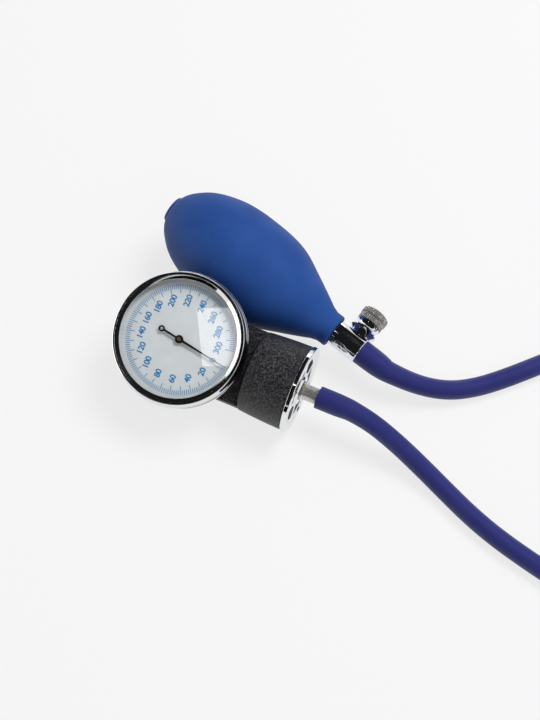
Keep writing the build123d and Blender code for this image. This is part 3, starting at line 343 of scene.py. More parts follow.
@dataclass(frozen=True)
class WrinkleLacquer:
    """Stoved wrinkle lacquer: near-black, with tight rounded wrinkles whose crests are painted lighter
    as a painted glint.
    """

    name: str
    colour: str
    # crest: a lighter colour painted on the wrinkles' tops, a painted glint
    crest: str
    wrinkle: float
    depth: float
    roughness: float
    slope: Pair = (0.46, 0.72)

    def build(self) -> Material:
        """Make the material."""
        material, tree = new_tree(self.name)
        noise = object_noise(tree, self.wrinkle, COLOUR_OCTAVES, Roughness=0.6, Distortion=0.8)
        # Painted glint: where the wrinkle noise is high, the colour runs from the lacquer's to the
        # lighter crest colour.
        colour = colour_ramp(tree, noise, (self.slope[0], linear(self.colour)),
                             (self.slope[1], linear(self.crest)))
        principled(tree, {
            "Base Color": colour, "Roughness": self.roughness, "IOR": COAT_IOR,
            "Normal": bumped(tree, noise, self.depth, 1.0)})
        return material


@dataclass(frozen=True)
class FlatGlass:
    """Clear float glass: light goes straight through, and each face mirrors by Schlick's rule.

    The mirrored share is 0.04 + 0.96 (1 - cos a) ** 5, where a is the angle to the face's normal.
    """

    name: str
    tint: str

    def build(self) -> Material:
        """Make the material."""
        material, tree = new_tree(self.name)
        facing = add(tree, "LayerWeight", {"Blend": 0.5}).outputs["Facing"]
        steep = computed(tree, "POWER", facing, 5.0)
        share = computed(tree, "MULTIPLY_ADD", steep, 1 - HEAD_ON_SHARE, HEAD_ON_SHARE)
        clear = add(tree, "BsdfTransparent", {"Color": linear(self.tint)})
        mirror = add(tree, "BsdfGlossy", {"Color": (1, 1, 1, 1), "Roughness": 0.0})
        finish_tree(tree, blended(tree, share, clear, mirror))
        return material


FINISHES = {
    "chrome": PlatedMetal("chrome_plate", "e6e8ea", 0.05),
    "nickel": PlatedMetal("satin_nickel", "dedbd6", 0.22, wear=0.06, scratch=1.5, metallic=0.86),
    # The lacquer's second colour, 58585c, is a painted glint on the wrinkle crests.
    "black_lacquer": WrinkleLacquer(
        "wrinkle_lacquer", "0f0f11", "58585c", wrinkle=0.75, depth=0.2, roughness=0.5),
    "glass": FlatGlass("float_glass", "fefeff"),
    "dial_paint": SatinSkin("dial_enamel", "d0d5d4", "d8dddc", 0.5),
    "dial_ink": SatinSkin("dial_ink", "0c77ad", "1282b8", 0.5),
    "pointer_black": SatinSkin("pointer_enamel", "101012", "18181a", 0.4),
    "brass": TurnedMetal("turned_brass", "b8934f", "cfae6a", 0.28),
    "bulb_rubber": MouldedRubber(
        "bulb_rubber", "1a4082", "20478a", 0.62, patch=16.0, grain=(0.4, 0.03, 0.35), sheen=0.0),
    "tube_rubber": MouldedRubber(
        "tube_latex", "242766", "292c6c", 0.45, patch=20.0, grain=(0.5, 0.03, 0.35), sheen=0.05),
    "black_rubber": MouldedRubber("seal_rubber", "141414", "1c1c1c", 0.6),
    "felt": SatinSkin(
        "dust_felt", "0a0a0a", "1c1c1e", 0.95, patch=0.5, grain=(0.3, 0.1, 0.8), sheen=0.3),
    "steel": TurnedMetal("ground_steel", "9c9ea1", "b4b6b9", 0.3),
    "copper_alloy": TurnedMetal("spring_bronze", "a8774a", "c08f5c", 0.3),
    "clip_plastic": SatinSkin("clip_nylon", "c4c7cb", "d2d5d8", 0.45),
}


@cache
def paint(name: str) -> Material:
    """The material of a record slot, or of the dial's ink, made once."""
    return FINISHES[name].build()


# Surfaces


AXIS_RADIUS = 0.01
CUT_SHARE = 0.45
TINY = 1e-9


def rounded(corners: Sequence[Sequence[float]], reach: float, closed: bool, steps: int = 6) -> Points:
    """Round a profile's corners with quadratic arcs (1-t)^2 a + 2t(1-t) p + t^2 b between cuts a and b.

    Args:
        corners: the profile's points.
        reach: distance from a corner to its cuts, at most CUT_SHARE of the shorter side.
        closed: whether the profile is a loop.
        steps: points on each corner's arc.

    Returns:
        The rounded profile.
    """
    points = np.array(corners, float)
    before = np.roll(points, 1, axis=0)
    after = np.roll(points, -1, axis=0)
    back = np.linalg.norm(before - points, axis=1)
    ahead = np.linalg.norm(after - points, axis=1)
    cut = np.minimum(reach, CUT_SHARE * np.minimum(back, ahead))[:, None]
    start = points + (before - points) / np.maximum(back, TINY)[:, None] * cut
    end = points + (after - points) / np.maximum(ahead, TINY)[:, None] * cut
    t = np.linspace(0, 1, steps)[None, :, None]
    arcs = (1 - t) ** 2 * start[:, None] + 2 * t * (1 - t) * points[:, None] + t ** 2 * end[:, None]
    if closed:
        return arcs.reshape(-1, 2)
    return np.concatenate([points[:1], arcs[1:-1].reshape(-1, 2), points[-1:]])


def band_faces(rows: int, columns: int, loop: bool) -> Points:
    """Quads of a grid whose columns close on themselves, and whose rows do too where it is a loop.

    Args:
        rows: number of rows.
        columns: number of columns.
        loop: whether the last row joins the first.

    Returns:
        Vertex numbers, four to a face.
    """
    row = np.arange(rows if loop else rows - 1)[:, None]
    column = np.arange(columns)[None, :]
    across = (column + 1) % columns
    below = (row + 1) % rows
    corners = [row * columns + column, row * columns + across,
               below * columns + across, below * columns + column]
    return np.stack(np.broadcast_arrays(*corners), -1).reshape(-1, 4)


def outward(vertices: Points, faces: Faces) -> Faces:
    """Turn all faces round where the closed mesh's volume, the sum of a.(b x c)/6, is negative.

    Args:
        vertices: the mesh's points.
        faces: its faces, each a triangle or a quad.

    Returns:
        The faces, with their normals pointing out.
    """
    first = np.array([(f[0], f[1], f[2]) for f in faces])
    second = np.array([(f[0], f[2], f[3]) for f in faces if len(f) == 4] or [(0, 0, 0)])
    centred = vertices - vertices.mean(0)
    volume = sum(
        np.einsum("ij,ij->i", centred[t[:, 0]], np.cross(centred[t[:, 1]], centred[t[:, 2]])).sum()
        for t in (first, second))
    return faces if volume >= 0 else [tuple(reversed(f)) for f in faces]


def smooth(mesh: bpy.types.Mesh, angle: float) -> None:
    """Shade a mesh smooth, but for edges whose faces meet at more than the angle in degrees."""
    mesh.shade_smooth()
    mesh.set_sharp_from_angle(angle=math.radians(angle))


def piece(name: str, vertices: Points, faces: Faces, slot: str, body: Body,
          replaced: Sequence[str] = (), angle: float = 50.0, finish: str | None = None) -> Object:
    """Make an object at the origin from a closed mesh, give it its finish, and let it ride a body.

    Args:
        name: the piece's name.
        vertices: its points in the row frame.
        faces: its faces.
        slot: record slot of its finish.
        body: the body that it rides on.
        replaced: CAD nodes that it stands for.
        angle: sharpest turn in degrees that is shaded smooth.
        finish: name of its finish, where that isn't the slot's.

    Returns:
        The object.
    """
    mesh = bpy.data.meshes.new(name)
    mesh.from_pydata(vertices.tolist(), [], outward(vertices, faces))
    mesh.update()
    smooth(mesh, angle)
    mesh.materials.append(paint(finish or slot))
    return settle(stand(name, mesh), body, replaced)


def settle(made: Object, body: Body, replaced: Sequence[str]) -> Object:
    """Let a piece ride its body, and hide the nodes that it stands for.

    Args:
        made: the piece.
        body: the body that it rides on.
        replaced: CAD nodes that it stands for.

    Returns:
        The piece.
    """
    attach(made, body.value)
    if replaced:
        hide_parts(*replaced)
    log.info("%s rides %s", made.name, body.value)
    return made


# A shaping takes distances along the axis, angles and radii, and returns the final radii.
Shaping = Callable[[Points, Points, Points], Points]


def lathe(axes: Axes, profile: Points, segments: int, loop: bool = False,
          shaping: Shaping | None = None) -> tuple[Points, Faces]:
    """Turn a profile of (distance along X, radius) about the X axis: (a, r cos t, r sin t).

    Args:
        axes: frame whose X is the axis.
        profile: distances and radii in millimetres.
        segments: points round the axis.
        loop: whether the profile closes on itself; otherwise its ends are closed with fans.
        shaping: how the radii are changed, if at all.

    Returns:
        Vertices in the row frame, and faces.
    """
    turn = np.linspace(0, 2 * math.pi, segments, endpoint=False)[None, :]
    along = np.repeat(profile[:, :1], segments, axis=1)
    radius = np.repeat(profile[:, 1:], segments, axis=1)
    if shaping is not None:
        radius = shaping(along, np.broadcast_to(turn, along.shape), radius)
    local = np.stack([along, radius * np.cos(turn), radius * np.sin(turn)], -1)
    rows = len(profile)
    faces = [tuple(f) for f in band_faces(rows, segments, loop).tolist()]
    vertices = local.reshape(-1, 3)
    if not loop:
        ends = np.array([[profile[0, 0], 0, 0], [profile[-1, 0], 0, 0]])
        vertices = np.concatenate([vertices, ends])
        column = np.arange(segments)
        across = (column + 1) % segments
        last = (rows - 1) * segments
        near = np.stack([np.full(segments, rows * segments), across, column], -1)
        far = np.stack([np.full(segments, rows * segments + 1), last + column, last + across], -1)
        faces += [tuple(f) for f in np.concatenate([near, far]).tolist()]
    return axes.place(vertices), faces


def joined(*parts: tuple[Points, Faces]) -> tuple[Points, Faces]:
    """Put several closed meshes into one: face numbers are moved on by the points before theirs.

    Args:
        parts: vertices and faces of each mesh.

    Returns:
        Vertices and faces of all of them.
    """
    vertices: list[Points] = []
    faces: Faces = []
    count = 0
    for points, part_faces in parts:
        faces += [tuple(i + count for i in f) for f in outward(points, part_faces)]
        vertices.append(points)
        count += len(points)
    return np.concatenate(vertices), faces


WELD_M = 1e-6
FLAT_DEGREES = 0.5
COPY_SHARP_DEGREES = 30.0


def smooth_copy(node: str, name: str, slot: str, bevel: float) -> Object:
    """Copy a CAD node's mesh, merge its doubles, shade it smooth and bevel its edges a little.

    Args:
        node: the CAD node, which the copy replaces.
        name: the new piece's name.
        slot: record slot of its finish.
        bevel: width of the broken edges, in millimetres.
    """
    mesh = frame["nodes"][node].data.copy()
    mesh.name = name
    work = bmesh.new()
    work.from_mesh(mesh)
    bmesh.ops.remove_doubles(work, verts=work.verts, dist=WELD_M)
    bmesh.ops.dissolve_limit(
        work, angle_limit=math.radians(FLAT_DEGREES), verts=work.verts, edges=work.edges)
    work.to_mesh(mesh)
    work.free()
    mesh.materials.clear()
    mesh.materials.append(paint(slot))
    smooth(mesh, COPY_SHARP_DEGREES)
    made = stand(name, mesh)
    edge = made.modifiers.new("broken_edges", "BEVEL")
    edge.width = bevel * MM
    edge.segments = 2
    edge.limit_method = "ANGLE"
    edge.angle_limit = math.radians(COPY_SHARP_DEGREES)
    edge.harden_normals = True
    return settle(made, Body.KIT, [node])


# Camera, light and floor


def aimed(made: Object, place: Vector, aim: Vector) -> None:
    """Put a camera or lamp at a place, looking at a point."""
    made.location = place
    made.rotation_mode = "QUATERNION"
    made.rotation_quaternion = (aim - place).to_track_quat("-Z", "Y")


@dataclass(frozen=True)
class SoftLamp:
    """Soft rectangular lamp, in metres and watts, that points at the middle of the table or at its aim.

    Shiny surfaces don't show a lamp that isn't mirrored, and one that isn't matte lights nothing else.
    """

    name: str
    place: Triple
    size: Pair
    power: float
    aim: Triple | None = None
    mirrored: bool = True
    matte: bool = True

    def build(self, target: Triple) -> None:
        """Hang the lamp."""
        data = bpy.data.lights.new(self.name, "AREA")
        data.shape = "RECTANGLE"
        data.size, data.size_y = self.size
        data.energy = self.power
        made = stand(self.name, data)
        made.visible_glossy = self.mirrored
        made.visible_diffuse = self.matte
        aimed(made, Vector(self.place), Vector(self.aim or target))


KEY_PLACE = (0.45, 0.25, 1.0)
LAMPS = (
    SoftLamp("key_softbox", KEY_PLACE, size=(0.5, 0.5), power=11.0, mirrored=False),
    SoftLamp("fill_softbox", (0.45, -0.75, 1.0), size=(0.7, 0.7), power=2.0, mirrored=False),
    SoftLamp("key_card", KEY_PLACE, size=(0.5, 0.5), power=2.2, matte=False),
    SoftLamp("side_card", (-1.2, 0.05, 0.26), size=(1.2, 0.5), power=1.9, matte=False),
    SoftLamp("back_card", (0.0, 1.2, 0.3), size=(1.2, 0.3), power=1.2, matte=False),
    SoftLamp("glass_softbox", (-0.346, -0.258, 1.2), size=(0.16, 0.08), power=0.13,
             aim=(-0.346, -0.258, 0.0)),
)


def stage_card(name: str, corners: Sequence[Triple], material: Material) -> Object:
    """Stand a flat card as part of the stage.

    Args:
        name: the card's name.
        corners: its four corners, in metres.
        material: its material.

    Returns:
        The card.
    """
    mesh = bpy.data.meshes.new(name)
    mesh.from_pydata(corners, [], [(0, 1, 2, 3)])
    mesh.materials.append(material)
    made = stand(name, mesh)
    return made


@dataclass(frozen=True)
class Studio:
    """Pale table and backdrop, soft light from above and the right, and the photograph's camera.

    Heights of the backdrop are the upward part of the view's direction: 0 is the horizon, 1 straight up.
    """

    target: Triple = (0.0085962, -0.0151308, 0.0)
    distance: float = 0.690
    elevation: float = 66.0
    lens: float = 70.0
    sensor: float = 36.0
    floor_colour: str = "f6f6f6"
    floor_half: float = 4.0
    paper_colour: str = "ececec"
    floor_share: float = 0.82
    ambient: float = 0.4
    pale_height: float = 0.26
    dark_height: float = 0.34
    dark_colour: tuple[float, float, float, float] = (0.01, 0.01, 0.0105, 1)
    flag_colour: str = "080808"
    flag_half: float = 1.2
    flag_back: float = -0.9
    flag_height: float = 0.3

    def camera(self) -> None:
        """Place the camera at the photograph's height and distance, aimed at the picture's middle."""
        data = bpy.data.cameras.new("photo_camera")
        data.lens = self.lens
        data.sensor_width = self.sensor
        made = stand("photo_camera", data)
        rise = math.radians(self.elevation)
        back = Vector((0.0, -math.cos(rise), math.sin(rise)))
        aimed(made, Vector(self.target) + back * self.distance, Vector(self.target))
        bpy.context.scene.camera = made

    def world(self) -> None:
        """Give dim room light, and one backdrop, pale near the horizon, to camera, mirrors and glass."""
        world = bpy.data.worlds.new("studio_room")
        bpy.context.scene.world = world
        world.use_nodes = True
        tree = world.node_tree
        tree.nodes.clear()
        way = add(tree, "TexCoord").outputs["Generated"]
        height = add(tree, "SeparateXYZ", {"Vector": way}).outputs["Z"]
        colour = colour_ramp(tree, height, (self.pale_height, linear(self.floor_colour)),
                             (self.dark_height, self.dark_colour))
        room = add(tree, "Background", {"Color": (1, 1, 1, 1), "Strength": self.ambient})
        backdrop = add(tree, "Background", {"Color": colour, "Strength": 1.0})
        add(tree, "OutputWorld", {
            "Surface": blended(tree, backdrop_rays(tree), room, backdrop)})

    def floor(self) -> None:
        """Lay wide pale paper that keeps a light shadow and shows a share of the backdrop's colour."""
        material, tree = new_tree("paper")
        paper = add(tree, "BsdfDiffuse", {"Color": linear(self.paper_colour), "Roughness": 0.5})
        plain = add(tree, "Emission", {"Color": linear(self.floor_colour), "Strength": 1.0})
        share = computed(tree, "MULTIPLY", backdrop_rays(tree), self.floor_share)
        finish_tree(tree, blended(tree, share, paper, plain))
        half = self.floor_half
        corners = [(-half, -half, 0), (half, -half, 0), (half, half, 0), (-half, half, 0)]
        stage_card("paper_floor", corners, material)

    def flag(self) -> None:
        """Stand a black flag on the camera's side for the bezel's dark ring, seen only by mirrors."""
        material, tree = new_tree("black_cloth")
        cloth = add(tree, "BsdfDiffuse", {"Color": linear(self.flag_colour), "Roughness": 1.0})
        finish_tree(tree, cloth.outputs[0])
        half, back, top = self.flag_half, self.flag_back, self.flag_height
        corners = [(-half, back, 0), (half, back, 0), (half, back, top), (-half, back, top)]
        made = stage_card("black_flag", corners, material)
        made.visible_camera = made.visible_diffuse = False
        made.visible_shadow = made.visible_transmission = False

    def build(self) -> None:
        """Set up camera, world, lamps, floor and flag."""
        bpy.context.scene.view_settings.view_transform = "Standard"
        self.camera()
        self.world()
        for lamp in LAMPS:
            lamp.build(self.target)
        self.floor()
        self.flag()
        log.info("studio built")


# Tubes


@dataclass(frozen=True)
class CoilShape:
    """A put-away coil that winds in to the left, in millimetres and degrees.

    Each arc has its radius, its turn and the number of its polygon's corners. The ramp is the radius and
    turn of the two bends that lift the end over the coil.
    """

    arcs: tuple[tuple[float, float, int], ...] = (
        (54.5, 180.0, 6), (49.25, 180.0, 6), (44.0, 30.0, 1), (30.0, 70.0, 3))
    ramp: Pair = (40.0, 20.0)
    lift: float = 10.0
    tail: float = 12.0

    def points(self, start: Points, before: Points) -> Points:
        """Corners of the polygon round each arc, where the arc touches each side's middle.

        Args:
            start: where the coil starts, in millimetres.
            before: the route's point before it, which gives the heading.

        Returns:
            The spline's points along the coil.
        """
        way = math.atan2(start[1] - before[1], start[0] - before[0])
        place = start.copy()
        found = []
        for radius, bend, corners in self.arcs:
            turn = math.radians(bend)
            centre = place + radius * np.array([-math.sin(way), math.cos(way), 0])
            step = turn / corners
            angle = way - math.pi / 2 + step * (np.arange(corners) + 0.5)
            reach = radius / math.cos(step / 2)
            ring = np.stack([np.cos(angle), np.sin(angle), np.zeros(corners)], -1)
            found.append(centre + reach * ring)
            way += turn
            place = centre + radius * np.array([math.sin(way), -math.cos(way), 0])
        found.append(self.lifted_end(place, np.array([math.cos(way), math.sin(way), 0])))
        return np.concatenate(found)

    def lifted_end(self, start: Points, way: Points) -> Points:
        """Corners of the two bends that lift the end: each lies r tan(b/2) from its arc's ends.

        Args:
            start: where the flat coil ends, in millimetres.
            way: its direction there.

        Returns:
            The spline's last points.
        """
        radius, bend = self.ramp[0], math.radians(self.ramp[1])
        reach = radius * math.tan(bend / 2)
        slope = (self.lift - 2 * radius * (1 - math.cos(bend))) / math.tan(bend)
        level = start + way * (2 * radius * math.sin(bend) + slope) + np.array([0, 0, self.lift])
        foot = start + way * reach
        head = level - way * reach
        return np.stack([foot, (foot + head) / 2, head, head + 2 * reach * way, level + way * self.tail])


@dataclass(frozen=True)
class RubberTube:
    """A limp rubber tube from its barb to a put-away coil, laid on one smooth spline.

    The route's points are the part's own, in millimetres, before its origin was moved under the middle.
    """

    name: str
    axes: Axes
    exit_along: float
    first_run: float
    route: tuple[Triple, ...]
    stretched: float
    length: float
    fittings: tuple[str, ...]
    nodes: tuple[str, ...]
    diameter: float = 9.5
    moved: Triple = (8.5962, -15.1308, 0.0)
    grip: Pair = (0.45, 0.8)
    relaxing: Triple = (0.75, 0.3, 0.0)
    coil: CoilShape = CoilShape()

    def build(self) -> Object:
        way = self.axes.x
        start = self.axes.origin / MM + way * self.exit_along
        listed = np.array(self.route) + np.array(self.moved)
        coil = self.coil.points(listed[-1], listed[-2])
        grip = np.array(self.grip)[:, None] * self.first_run
        points = np.concatenate([start[None], start + way * grip, (start + way * self.first_run)[None],
                                 listed[:-1], coil])
        width = np.ones(len(points))
        width[:5] = [self.stretched, self.stretched * 1.01,
                     *(1 + (self.stretched - 1) * share for share in self.relaxing)]
        curve = bpy.data.curves.new(self.name, "CURVE")
        curve.dimensions = "3D"
        curve.bevel_depth = self.diameter / 2 * MM
        curve.bevel_resolution = 8
        curve.resolution_u = 8
        curve.use_fill_caps = True
        spline = curve.splines.new("NURBS")
        spline.points.add(len(points) - 1)
        weighted = np.column_stack([points * MM, np.ones(len(points))])
        spline.points.foreach_set("co", weighted.ravel())
        spline.points.foreach_set("radius", width)
        spline.order_u = 3
        spline.use_endpoint_u = True
        curve.materials.append(paint("tube_rubber"))
        made = stand(self.name, curve)
        settle(made, Body.KIT, self.nodes)
        return made


TUBES = (
    RubberTube(
        "bulb_hose", BULB, exit_along=15.6, first_run=16.2, stretched=1.29, length=0.609,
        route=((71.1, -18.1, 10.67), (85.7, -19.4, 6.79), (99.3, -16.9, 4.75), (112.2, -12.7, 4.75),
               (124.8, -7.6, 4.75), (137.7, -2.1, 4.75), (152.2, 1.6, 4.75),
               (168.4, 3.3, 4.75), (185.6, 4.3, 4.75), (202.9, 5.5, 4.75)),
        fittings=("bulb_tube_connector", "coil_clips"), nodes=("bulb_tube", "bulb_tube_coil")),
    RubberTube(
        "gauge_hose", GAUGE, exit_along=68.8, first_run=17.0, stretched=1.15, length=0.616,
        route=((48.6, -41.3, 19.0), (60.8, -49.5, 12.29), (72.1, -59.2, 7.3), (82.4, -69.5, 4.75),
               (92.3, -80.4, 4.75), (103.4, -90.9, 4.75), (116.2, -101.0, 4.75),
               (130.4, -111.3, 4.75), (145.5, -121.3, 4.75), (160.6, -131.5, 4.75)),
        fittings=("gauge_tube_connector",), nodes=("gauge_tube", "gauge_tube_coil")),
)


# Gauge


@dataclass(frozen=True)
class Bezel:
    """Chromed bezel with its bead at the foot, in millimetres, with heights from the drum's axis."""

    bottom: float = 12.6
    bead: float = 2.3
    bead_radius: float = 32.6
    bead_chamfer: float = 0.4
    bead_shoulder: float = 0.5
    foot_radius: float = 31.9
    wall_radius: float = 31.55
    crest_radius: float = 29.9
    top: float = 21.1
    turn: float = 1.25
    opening: float = 28.0
    lip: float = 19.49
    lip_depth: float = 0.4
    bore: float = 30.63
    softness: float = 0.35
    segments: int = 256

    def build(self) -> Object:
        """Turn the bezel's profile about the dial's axis: its crown is a quarter ellipse."""
        bead_top = self.bottom + self.bead
        lean = np.linspace(0, math.pi / 2, 10)
        crown = np.stack([self.top - self.turn * (1 - np.sin(lean)),
                          self.crest_radius + (self.wall_radius - self.crest_radius) * np.cos(lean)], -1)
        corners = [
            (self.bottom, self.bore), (self.bottom, self.bead_radius - self.bead_chamfer),
            (self.bottom + self.bead_chamfer, self.bead_radius),
            (bead_top - self.bead_shoulder, self.bead_radius), (bead_top, self.foot_radius),
            *crown.tolist(), (self.lip + self.lip_depth, self.opening),
            (self.lip, self.opening), (self.lip, self.bore)]
        mesh = lathe(DIAL, rounded(corners, self.softness, True), self.segments, loop=True)
        return piece("bezel", *mesh, "chrome", Body.KIT, ["bezel_ring"])


@dataclass(frozen=True)
class DialPrint:
    """Ticks and numerals printed on the dial, in millimetres, with heights from the drum's axis."""

    face: float = 15.2
    sweep: float = 341.0
    top: int = 300
    tick_step: int = 2
    long_step: int = 10
    tick_radius: float = 26.2
    short_tick: float = 2.3
    long_tick: float = 4.2
    tick_width: float = 0.34
    numeral_step: int = 20
    numeral_radius: float = 18.7
    numeral_height: float = 2.9
    numeral_weight: float = 0.12
    numeral_spacing: float = 0.95
    capital_share: float = 0.72
    ink: float = 0.03
    gap: float = 0.002

    def direction(self, reading: Points) -> Points:
        """Angle of a reading from the drum's direction: minus half the gap and the sweep's share."""
        return np.radians(-(360 - self.sweep) / 2 - self.sweep * reading / self.top)

    def ticks(self) -> Object:
        """Print a thin bar for every second reading, longer at every tenth, out from the middle."""
        reading = np.arange(0, self.top + 1, self.tick_step)
        angle = self.direction(reading)
        length = np.where(reading % self.long_step == 0, self.long_tick, self.short_tick)
        out = np.stack([np.cos(angle), np.sin(angle), np.zeros_like(angle)], -1)
        side = np.stack([-np.sin(angle), np.cos(angle), np.zeros_like(angle)], -1) * self.tick_width / 2
        outer = out * self.tick_radius
        inner = out * (self.tick_radius - length)[:, None]
        base = np.stack([inner - side, outer - side, outer + side, inner + side], 1)
        levels = [base + [0, 0, self.face + self.gap], base + [0, 0, self.face + self.ink]]
        bars = np.concatenate(levels, 1).reshape(-1, 3)
        box = np.array([
            (3, 2, 1, 0), (4, 5, 6, 7), (0, 1, 5, 4), (1, 2, 6, 5), (2, 3, 7, 6), (3, 0, 4, 7)])
        faces = (box[None] + 8 * np.arange(len(reading))[:, None, None]).reshape(-1, 4)
        return piece("dial_ticks", GAUGE.place(bars), [tuple(f) for f in faces.tolist()], "dial_paint",
                     Body.KIT, finish="dial_ink")

    def numeral(self, reading: int) -> tuple[Points, Faces]:
        """Make one numeral's text a mesh, upright across the drum's direction.

        Args:
            reading: the number.

        Returns:
            Its points in millimetres, and its faces.
        """
        text = bpy.data.curves.new("numeral", "FONT")
        text.body = str(reading)
        text.size = self.numeral_height / self.capital_share
        text.align_x = "CENTER"
        text.align_y = "CENTER"
        text.offset = self.numeral_weight
        text.extrude = self.ink / 2
        text.space_character = self.numeral_spacing
        holder = stand("numeral", text)
        bpy.context.view_layer.update()
        graph = bpy.context.evaluated_depsgraph_get()
        mesh = bpy.data.meshes.new_from_object(holder.evaluated_get(graph))
        bpy.data.objects.remove(holder)
        flat = np.array([vertex.co for vertex in mesh.vertices])
        angle = self.direction(np.array(reading))
        middle = self.numeral_radius * np.array([np.cos(angle), np.sin(angle)])
        height = flat[:, 2] + self.face + self.ink / 2 + self.gap
        local = np.stack([middle[0] - flat[:, 1], middle[1] + flat[:, 0], height], -1)
        return local, [tuple(polygon.vertices) for polygon in mesh.polygons]

    def numerals(self) -> Object:
        """Print all numerals as one piece."""
        vertices: list[Points] = []
        faces: Faces = []
        count = 0
        for reading in range(0, self.top + 1, self.numeral_step):
            points, own = self.numeral(reading)
            faces += [tuple(i + count for i in f) for f in own]
            vertices.append(points)
            count += len(points)
        mesh = bpy.data.meshes.new("dial_numerals")
        mesh.from_pydata(GAUGE.place(np.concatenate(vertices)).tolist(), [], faces)
        mesh.materials.append(paint("dial_ink"))
        return settle(stand("dial_numerals", mesh), Body.KIT, [])


@dataclass(frozen=True)
class GaugeDrum:
    """Lacquered drum and the hull under the head, in millimetres in the gauge's frame."""

    step: float = 35.6
    rim: float = 58.02
    end_radius: float = 21.0
    step_radius: float = 19.8
    swell: float = 0.22
    softness: float = 0.9
    hull_radius: float = 19.5
    hull_straight: float = 8.0
    hull_nose: float = 21.0
    hull_middle: float = 0.6
    hull_overlap: float = 0.5
    deck: float = 5.75
    deck_softness: float = 0.24
    least_sine: float = 1e-3
    drum_segments: int = 192
    hull_segments: int = 384

    def deck_cut(self, along: Points, turn: Points, radius: Points) -> Points:
        """Smooth least of the radius and the deck's distance: -s log(exp(-r/s) + exp(-d/s)).

        Args:
            along: distances along the drum.
            turn: angles about it.
            radius: radii before the cut.

        Returns:
            The radii after it.
        """
        reach = self.deck / np.maximum(np.sin(turn), self.least_sine)
        soft = self.deck_softness
        least = np.minimum(radius, reach)
        return least - soft * np.log(np.exp((least - radius) / soft) + np.exp((least - reach) / soft))

    def build(self) -> Object:
        """Turn the drum as a cone with a bowed side, and the hull as a bar cut smoothly by the deck.

        The drum's radius at share t of its length is the straight side's plus swell times 4t(1-t). The
        hull's radius at angle t is the smooth least of its own radius and deck / sin t.
        """
        share = np.linspace(0, 1, 11)
        side = np.stack([self.step + (self.rim - self.step) * share,
                         self.step_radius + (self.end_radius - self.step_radius) * share
                         + self.swell * 4 * share * (1 - share)], -1)
        drum = rounded([(self.step, 0), *side.tolist(), (self.rim, 0)], self.softness, False, 8)
        lean = np.linspace(0, math.pi / 2, 40)
        nose = np.stack([self.hull_straight - self.hull_nose * np.cos(lean),
                         self.hull_radius * np.sin(lean)], -1)
        nose[0, 1] = AXIS_RADIUS
        bar = [[self.step * self.hull_middle, self.hull_radius],
               [self.step + self.hull_overlap, self.hull_radius]]
        hull = np.concatenate([nose, bar])
        mesh = joined(lathe(GAUGE, drum, self.drum_segments),
                      lathe(GAUGE, hull, self.hull_segments, shaping=self.deck_cut))
        return piece("drum_and_hull", *mesh, "black_lacquer", Body.KIT, ["gauge_body"])


@dataclass(frozen=True)
class HoseStub:
    """Threaded stub with its collar and barb, in millimetres in the gauge's frame."""

    cap_front: float = 60.45
    depth: float = 2.4
    gap: float = 0.03
    radius: float = 4.0
    exposed: float = 8.35
    collar: float = 1.4
    collar_radius: float = 5.0
    chamfer: float = 0.3
    end_chamfer: float = 0.4
    pitch: float = 0.8
    groove: float = 0.25
    barb_radius: float = 3.4
    barb: float = 5.8
    segments: int = 96

    def thread(self, place: Points, turn: Points, radius: Points) -> Points:
        """Cut the thread: a half cosine of the groove each pitch, moved on by a pitch each turn."""
        wave = 0.5 - 0.5 * np.cos(2 * math.pi * place / self.pitch - turn)
        start, end = self.cap_front + self.collar + 0.1, self.cap_front + self.exposed - 0.5
        inside = (place > start) & (place < end) & (radius > self.radius - 0.1)
        return np.where(inside, radius - self.groove * wave, radius)

    def build(self) -> Object:
        """Turn the stub's profile and cut its thread."""
        back, foot = self.cap_front - self.depth, self.cap_front + self.gap
        collar, end = self.cap_front + self.collar, self.cap_front + self.exposed
        edge, radius = self.collar_radius - self.chamfer, self.radius
        along = np.linspace(collar, end - self.end_chamfer, 60)
        profile = np.concatenate([
            [[back, AXIS_RADIUS], [back, radius], [foot, radius], [foot, edge],
             [self.cap_front + self.chamfer, self.collar_radius],
             [collar - self.chamfer, self.collar_radius], [collar, edge], [collar, radius]],
            np.stack([along, np.full(60, radius)], -1),
            [[end, radius - self.end_chamfer], [end, self.barb_radius + 0.1],
             [end + self.barb, self.barb_radius], [end + self.barb, AXIS_RADIUS]]])
        mesh = lathe(GAUGE, profile, self.segments, shaping=self.thread)
        return piece("threaded_stub", *mesh, "nickel", Body.KIT, ["hose_stub"])


# Bulb and valve


